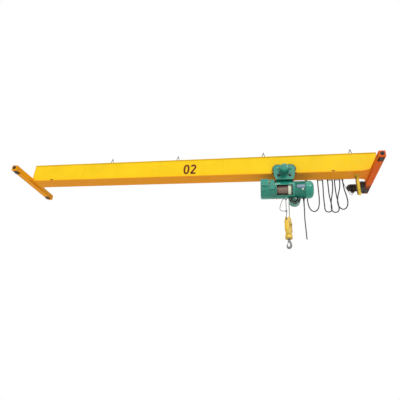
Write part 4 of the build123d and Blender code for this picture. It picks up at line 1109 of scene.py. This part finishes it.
# The window frame lips are in the pale green: painted highlight along the window's edges.
frame_lips = Shape("window_frame_lips", "trolley", worn_and_highlight_green, "hoist_paint")
for low, high in ((12.0, 14.2), (-64.2, -62.0)):
    curved_panel(frame_lips, CASING_X0 + 0.013, CASING_X1 - 0.013, low, high, HOIST_R - 2, 6, 1.5)
for x in (CASING_X0 + 0.014, CASING_X1 - 0.02):
    curved_panel(frame_lips, x, x + 0.006, -62, 12, HOIST_R - 6, 7, 1)
lips = Shape("hoist_rings_and_lips", "trolley", hoist_green, "hoist_paint")
for x in (2.118, 2.2):
    lips.turned(on_hoist(x), X, [(0, 208.5), (1, 212.5), (9, 212.5), (10, 208.5)], 72)
for degrees in range(-100, -50, 12):
    rib(lips, on_hoist(2.131), 66, degrees, 208.5, 4.5, 6)
lips.turned(on_hoist(2.9255), X, [(0, 212), (1, 216.5), (10, 216.5), (12, 212.5)], 72)

covers = Shape("hoist_control_covers", "trolley", hoist_green, "hoist_paint", bevel=1.5)
covers.box((1.885, -0.2745, -0.298), (2.062, -0.2685, -0.129), 3)
covers.box((2.088, -0.26, -0.405), (2.204, -0.15, -0.128), 12)
covers.box((2.096, -0.264, -0.396), (2.196, -0.2595, -0.137), 2)
curved_panel(covers, 1.892, 1.977, -27.5, -2, HOIST_R, 10, 3)
curved_panel(covers, 1.892, 2.075, -52, -36, HOIST_R, 5, 2)

SCREW_HEAD = [(0, 5.5), (3, 5.5), (4.5, 3.5)]
screws = Shape("hoist_screws", "trolley", bolt_steel, "clamp_steel")
for columns, rows, y in (
    ((1.894, 2.053), (-0.288, -0.2135, -0.139), -0.2742),
    ((2.104, 2.188), (-0.386, -0.2665, -0.147), -0.264),
):
    for x in columns:
        for z in rows:
            screws.turned((x, y, z), -Y, SCREW_HEAD, 14)
for x in (1.902, 1.967):
    for degrees in (-25, -5):
        screws.turned(on_hoist(x, HOIST_R + 9, degrees), outward(degrees), [(0, 5), (3, 5), (4, 3)], 12)
for k in range(12):
    screws.hex_bolt(on_hoist(2.67, 207, 30 * k + 15), X, 10, 6, washer=False)
for x in (CASING_X0 + 0.007, CASING_X1 - 0.007):
    for degrees in (-76, -92, -108, 26, 44):
        screws.hex_bolt(on_hoist(x, 219.8, degrees), outward(degrees), 8, 4.5, washer=False)
screws.hex_bolt(on_hoist(2.18, 208.5, -56), outward(-56), 17, 9)
# A near-white plug on the motor: painted highlight.
knob = Shape("motor_highlight_plug", "trolley", highlight_knob_paint, "clamp_steel")
knob.turned(on_hoist(2.857, 200.5, -21), outward(-21), [(0, 22), (9, 22), (13, 18), (15, 8)], 28)

motor = Shape("hoist_motor_ribs", "trolley", lit_motor_green, "hoist_paint")
for k in range(60):
    if k % 5:
        rib(motor, on_hoist(2.682), 238, 6 * k, 200, 9.5, 4.2)
motor.bars(on_hoist(3.1145), X, -Y, 30, [(40, -3, 40, 0, 3, 1.8), (112, -3, 112, 0, 3, 1.8)])
motor.turned(on_hoist(3.112), X, [(0, 36), (2, 36), (3, 30)])

label = Shape("hoist_motor_bare_plate", "trolley", bare_label, "clamp_steel")
curved_panel(label, 2.726, 2.905, -13, 9, 212.8, 2.2, 0.4)
rivets = Shape("bare_plate_rivets", "trolley", brass, "clamp_steel")
for x in (2.734, 2.897):
    for degrees in (-11.2, 7.2):
        rivets.turned(on_hoist(x, 214.6, degrees), outward(degrees), [(0, 3.5), (1.2, 3.2), (2, 1.8)], 12)

LIMIT_X = 2.668
LIMIT_Z = HOIST_Z - 0.252
# The housing rims are in the darkened green: painted shade at the housing's outline.
limit = Shape("limit_housing_rims", "trolley", shaded_green, "hoist_paint")
limit_pale = Shape("limit_housing_pale_rings", "trolley", pale_ring_paint, "hoist_paint")
limit_bolts = Shape("limit_housing_bolts", "trolley", bolt_steel, "clamp_steel")
for side in SIGNS:
    face = Vector((LIMIT_X, side * 0.075, LIMIT_Z))
    out = Y * side
    limit.turned(face, out, [(-6, 140.5), (4, 140.5), (6, 138), (6, 124), (0, 121)], 64)
    limit.turned(face, out, [(-1, 62), (5, 62), (10, 54), (13, 32)], 48)
    limit_pale.turned(face, out, [(-1, 97), (3.5, 97), (4.5, 96), (4.5, 90), (0, 88)], 56)
    limit_bolts.bolt_circle(face + out * 0.0005, out, 111.5, 6, 10, 6, start=0.35)
    limit_bolts.bolt_circle(face + out * 0.006, out, 46, 3, 8, 5, start=0.2)

# Pendant: gland nut, tapered strain relief and its sleeve
GLAND = on_hoist(GLAND_X, HOIST_R, -90)
gland = Shape(
    "pendant_strain_relief", "trolley", sheath_black, "cable_sheath", sharp=50, replaces="pendant_gland"
)
gland.turned(at(GLAND, 0, 0, 4), -Z, [(0, 26), (10, 26), (12, 20), (46, 20)], 24)
gland.turned(at(GLAND, 0, 0, -26), -Z, [(0, 24.5), (26, 24.5), (30, 22)], 6)
profile = [(-10, 19), (0, 19)]
for k in range(6):
    along = 4 + 9 * k
    radius = 19 - 0.7 * k
    for further, thinner in ((0, 0), (1, 2.2), (4, 2.4), (5, 0.4)):
        profile.append((along + further, radius - thinner))
profile += [(60, 15.2), (140, 14.8), (157, 13.4)]
gland.turned(at(GLAND, 0, 0, -66), -Z, profile, 24)


def laid_rope(shape, path, radius, pitch=0.11, around=18, lobes=6, depth=0.16):
    """A wire rope along a path: its strands stand out and turn as it runs."""
    rings = []
    travelled = 0.0
    for index, (point, (side, up)) in enumerate(zip(path, frames_along(path))):
        if index:
            travelled += (point - path[index - 1]).length
        twist = 2 * pi * travelled / pitch
        section = []
        for k in range(around):
            angle = 2 * pi * k / around
            size = radius * (1 - depth * (0.5 - 0.5 * cos(lobes * (angle - twist))))
            section.append(point + size * (side * cos(angle) + up * sin(angle)))
        rings.append(section)
    shape.loft(rings)


WIND_X0 = 2.261
WIND_PITCH = 0.016
WIND_TURNS = 20
WIND_STEPS = 64
helix = []
for k in range((WIND_TURNS - 1) * WIND_STEPS + 1):
    angle = 2 * pi * k / WIND_STEPS
    round_drum = Vector((0, cos(angle), sin(angle))) * LAY_RADIUS
    helix.append(on_hoist(WIND_X0 + WIND_PITCH * k / WIND_STEPS) + round_drum)
windings = Shape("rope_windings_laid", "drum", drum_rope, "rope_steel", sharp=70, replaces="rope_windings")
laid_rope(windings, helix, 0.008, pitch=0.1, around=14)
LEAD_LENGTH = 0.146
straight = [Vector((HOOK_X + FALL_HALF, FALL_Y, HOIST_Z - LEAD_LENGTH * k / 12)) for k in range(13)]
laid_rope(Shape("rope_lead_to_guide", "trolley", rope_brown, "rope_steel", sharp=70), straight, 0.0085)

# Hook block, in its own directions: the falls' side, up, and along the sheave's axle
BLOCK_SIDE = Vector((FALL_HALF, FALL_Y, 0)).normalized()
BLOCK_AXLE = Vector((FALL_Y, -FALL_HALF, 0)).normalized()
SHEAVE = Vector((HOOK_X, 0, underside - 1.276))
COLLAR = Vector((HOOK_X, 0, underside - 1.628))


def in_block(side, rise, out):
    """A point of the hook block, in millimetres from the sheave's centre."""
    return SHEAVE + (BLOCK_SIDE * side + Z * rise + BLOCK_AXLE * out) * MM


arc = []
for k in range(73):
    angle = radians(-180 * k / 72)
    arc.append(in_block(105 * cos(angle), 105 * sin(angle), 0))
bight = Shape("sheave_rope_laid", "hook_block", rope_brown, "rope_steel", sharp=70, replaces="sheave_rope")
laid_rope(bight, arc, 0.0075)

# The bosses take the block paint, with its painted shade and highlight.
cheek = Shape("hook_block_bosses", "hook_block", block_shade_and_highlight_yellow, "block_paint")
block_bolts = Shape("hook_block_bolts", "hook_block", dark_block_yellow, "block_paint")
block_dark = Shape("hook_block_axle_keepers", "hook_block", dark_block_yellow, "block_paint")
for face in SIGNS:
    out = BLOCK_AXLE * face
    centre = in_block(0, 0, face * 45)
    cheek.turned(centre, out, [(-1, 46), (5, 46), (7, 43)], 40)
    block_dark.turned(centre, out, [(4, 26), (11, 26), (13, 23)], 28)
    rings = []
    for depth, inset in ((6, 0), (12, 0), (13.5, 1.5)):
        foot = in_block(0, -36 + inset, face * (45 + depth))
        crown = in_block(0, -20 - inset, face * (45 + depth))
        rings.append(trapezoid(foot, crown, BLOCK_SIDE, 34 - inset, 34 - inset))
    block_dark.loft(rings)
    for side in SIGNS:
        block_bolts.hex_bolt(in_block(side * 25, -28, face * 58.5), out, 9, 5, washer=False)
        for reach, rise in ((104, 36), (104, -128), (38, -236)):
            block_bolts.hex_bolt(in_block(side * reach, rise, face * 45), out, 18, 10)
cheek.turned(at(COLLAR, 0, 0, 90), -Z, [(0, 82.5), (12, 82.5), (14, 80)], 56)
cheek.turned(at(COLLAR, 0, 0, 26), -Z, [(0, 78.5), (1, 82), (8, 82), (9, 79)], 56)
seal = Shape("hook_collar_dark_ring", "hook_block", dark_iron, "wheel_steel")
seal.turned(at(COLLAR, 0, 0, 17), -Z, [(0, 77), (1, 80.5), (11, 80.5), (12, 77)], 56)
nipple = Shape("hook_grease_nipple", "hook_block", brass, "clamp_steel")
nipple.turned(at(COLLAR, -30, -72.5, 58), (-0.38, -0.925, 0), [(-4, 6), (8, 5), (10, 3), (16, 3)], 12)

# Forged hook: a swept, swelling section with a blunt tip, and its spring latch
HOOK_TURN = radians(-38)
HOOK_SIDE = Vector((cos(HOOK_TURN), sin(HOOK_TURN), 0))
HOOK_ACROSS = Vector((HOOK_SIDE.y, -HOOK_SIDE.x, 0))
BOWL = at(COLLAR, 0, 0, -164)


def in_hook(side, rise):
    """A point of the hook's plane, in millimetres from the bowl's centre."""
    return BOWL + (HOOK_SIDE * side + Z * rise) * MM


# Each section of the hook: its side and rise, then its half width and half depth
line = [(0, rise, 25.5, 25.5) for rise in (250, 224, 198, 176, 162)]
line += [(1, 146, 25, 25), (5, 128, 24, 23.5), (13, 108, 23.5, 23), (25, 86, 23.5, 23)]
line += [(37, 62, 23.5, 23), (46, 38, 24, 23.5), (50, 18, 24.3, 23.8)]
for k in range(19):
    angle = radians(-10 * k)
    swell = -sin(angle)
    taper = max(0, (k - 12) / 6)
    width = 24.3 + 0.6 * swell - 7 * taper
    depth = 23.8 + 1.4 * swell - 6 * taper
    line.append((52 * cos(angle), 52 * sin(angle), width, depth))
line += [(-54.5, 10, 16, 16), (-58, 20, 14, 14), (-62, 28, 11.2, 11.2)]
line += [(-65, 33, 7.5, 7.6), (-66.8, 35.5, 2, 2)]
rings = []
for index, (side, rise, width, depth) in enumerate(line):
    before = line[max(index - 1, 0)]
    after = line[min(index + 1, len(line) - 1)]
    ahead = (in_hook(*after[:2]) - in_hook(*before[:2])).normalized()
    normal = HOOK_ACROSS.cross(ahead).normalized()
    section = []
    for k in range(24):
        c = cos(2 * pi * k / 24)
        out = fuller(c, 0.85) * width
        across = fuller(sin(2 * pi * k / 24), 0.85) * depth * (1 - 0.12 * c)
        section.append(in_hook(side, rise) + (normal * out + HOOK_ACROSS * across) * MM)
    rings.append(section)
forging = Shape("forged_hook", "hook", hook_grey, "hook_steel", sharp=60, replaces="hook")
forging.loft(rings)
forging.turned(at(COLLAR, 0, 0, -4), -Z, [(0, 40), (7, 40), (9, 37), (10, 30)], 40)

latch = Shape("hook_latch", "hook", bolt_steel, "clamp_steel")
rings = []
slant = (HOOK_SIDE * 0.88 - Z * 0.47).normalized()
for side, rise, half, thick in (
    (-10, 112, 12, 3), (-20, 98, 14, 3), (-34, 68, 13, 2.6), (-50, 34, 10, 2.4), (-53.5, 26, 7, 2),
):
    place = in_hook(side, rise)
    thickness = slant * thick / 2 * MM
    rings.append(trapezoid(place + thickness, place - thickness, HOOK_ACROSS, half, half))
latch.loft(rings)
LATCH_EAR = [(-26, 96), (-12, 88), (4, 100), (6, 118), (-16, 124)]
for face in SIGNS:
    latch.plate(LATCH_EAR, BOWL + HOOK_ACROSS * face * 0.0268, HOOK_SIDE, Z, 3, 0.8)
latch.turned(in_hook(-4, 108) - HOOK_ACROSS * 0.031, HOOK_ACROSS, [(0, 5.5), (62, 5.5)], 16)

# Rope anchor and clip: bolts through the clamp that holds the slack rope
clip_bolts = Shape("rope_anchor_bolts", "trolley", bolt_steel, "clamp_steel")
for x, z in CORNERS:
    clip_bolts.hex_bolt(at(CLIP, 11 * x, -18, 7 * z), -Y, 7, 4, washer=False)
for x in (-13, 13):
    clip_bolts.hex_bolt(at(ANCHOR, x, -22, 20), -Y, 10, 6)
clip_bolts.turned(at(ANCHOR, 0, 0, 1), -Z, [(0, 14), (16, 12.5), (30, 8.8)], 20)

# Lifting hoops: foot welds
hoop_feet = Shape("lifting_hoop_welds", "bridge", hoop_grey, "clamp_steel")
for hoop_x in (-2.178, -0.306, 1.944, 4.041):
    for side in SIGNS:
        foot = (hoop_x + side * 0.045, -0.095, top_high.z)
        hoop_feet.turned(foot, Z, [(-1, 14.5), (2, 13.5), (6, 10.5), (10, 9)], 18)

for shape in Shape.planned:
    shape.piece(*shape.plan, **shape.options)


# Floor, light and camera


def floor_material():
    """Pale floor that keeps the shadow, and is plain white to the camera beyond it."""
    s = Shader("pale_floor")
    tone = s.ramp(s.noise(0.35, detail=3), [(0.3, (0.8, 0.8, 0.79)), (0.7, (0.84, 0.84, 0.83))])
    s.set(Base_Color=tone, Roughness=0.9)
    return s.material


FLOOR_Z = -8.0
FLOOR_HALF = 20.0
floor_corners = [(x * FLOOR_HALF, y * FLOOR_HALF, FLOOR_Z) for x, y in ((-1, -1), (1, -1), (1, 1), (-1, 1))]
mesh_piece("pale_floor", floor_corners, [(0, 1, 2, 3)], floor_material())


def white_world():
    """Even grey light, seen as plain white by the camera, by mirrors and through glass."""
    world = bpy.data.worlds.new("studio_world")
    scene.world = world
    world.use_nodes = True
    world.node_tree.nodes.clear()
    w = Nodes(world.node_tree)
    path = w.add("LightPath")
    seen = path.outputs["Is Camera Ray"]
    for ray in ("Is Glossy Ray", "Is Transmission Ray"):
        seen = w.math("ADD", seen, path.outputs[ray])
    white = w.add("Background", Color=(1, 1, 1), Strength=1.0)
    ambient = w.add("Background", Color=(1.0, 0.99, 0.97), Strength=0.52)
    mix = w.add("MixShader", Fac=seen)
    w.fill(mix, {1: ambient.outputs["Background"], 2: white.outputs["Background"]})
    w.add("OutputWorld", Surface=mix.outputs["Shader"])


white_world()


def sun(name, direction, strength, angle, colour=(1, 1, 1)):
    """A far soft lamp that shines along a direction."""
    data = bpy.data.lights.new(name, "SUN")
    data.energy = strength
    data.angle = radians(angle)
    data.color = colour
    lamp = link(bpy.data.objects.new(name, data))
    lamp.rotation_euler = Vector(direction).to_track_quat("-Z", "Y").to_euler()


sun("key_light", (-0.3, 0.85, -0.55), 1.35, 14, (1.0, 0.98, 0.95))
sun("top_light", (0.05, 0.35, -0.93), 0.7, 8)
sun("fill_light", (0.8, 0.35, -0.35), 0.2, 30)

level_ahead = Vector((sin(CAMERA_YAW), cos(CAMERA_YAW), 0))
forward = level_ahead * cos(CAMERA_PITCH) + Z * sin(CAMERA_PITCH)
level_right = Vector((cos(CAMERA_YAW), -sin(CAMERA_YAW), 0))
level_up = level_right.cross(forward)
right = cos(CAMERA_ROLL) * level_right + sin(CAMERA_ROLL) * level_up
up = -sin(CAMERA_ROLL) * level_right + cos(CAMERA_ROLL) * level_up
camera_data = bpy.data.cameras.new("camera")
camera_data.lens = CAMERA_LENS
camera_data.sensor_width = 36.0
camera_data.clip_end = 200.0
camera = link(bpy.data.objects.new("camera", camera_data))
turn = Matrix((right, up, -forward)).transposed()
camera.matrix_world = Matrix.Translation(Vector(CAMERA_PLACE)) @ turn.to_4x4()
scene.camera = camera
scene.view_settings.view_transform = "Standard"
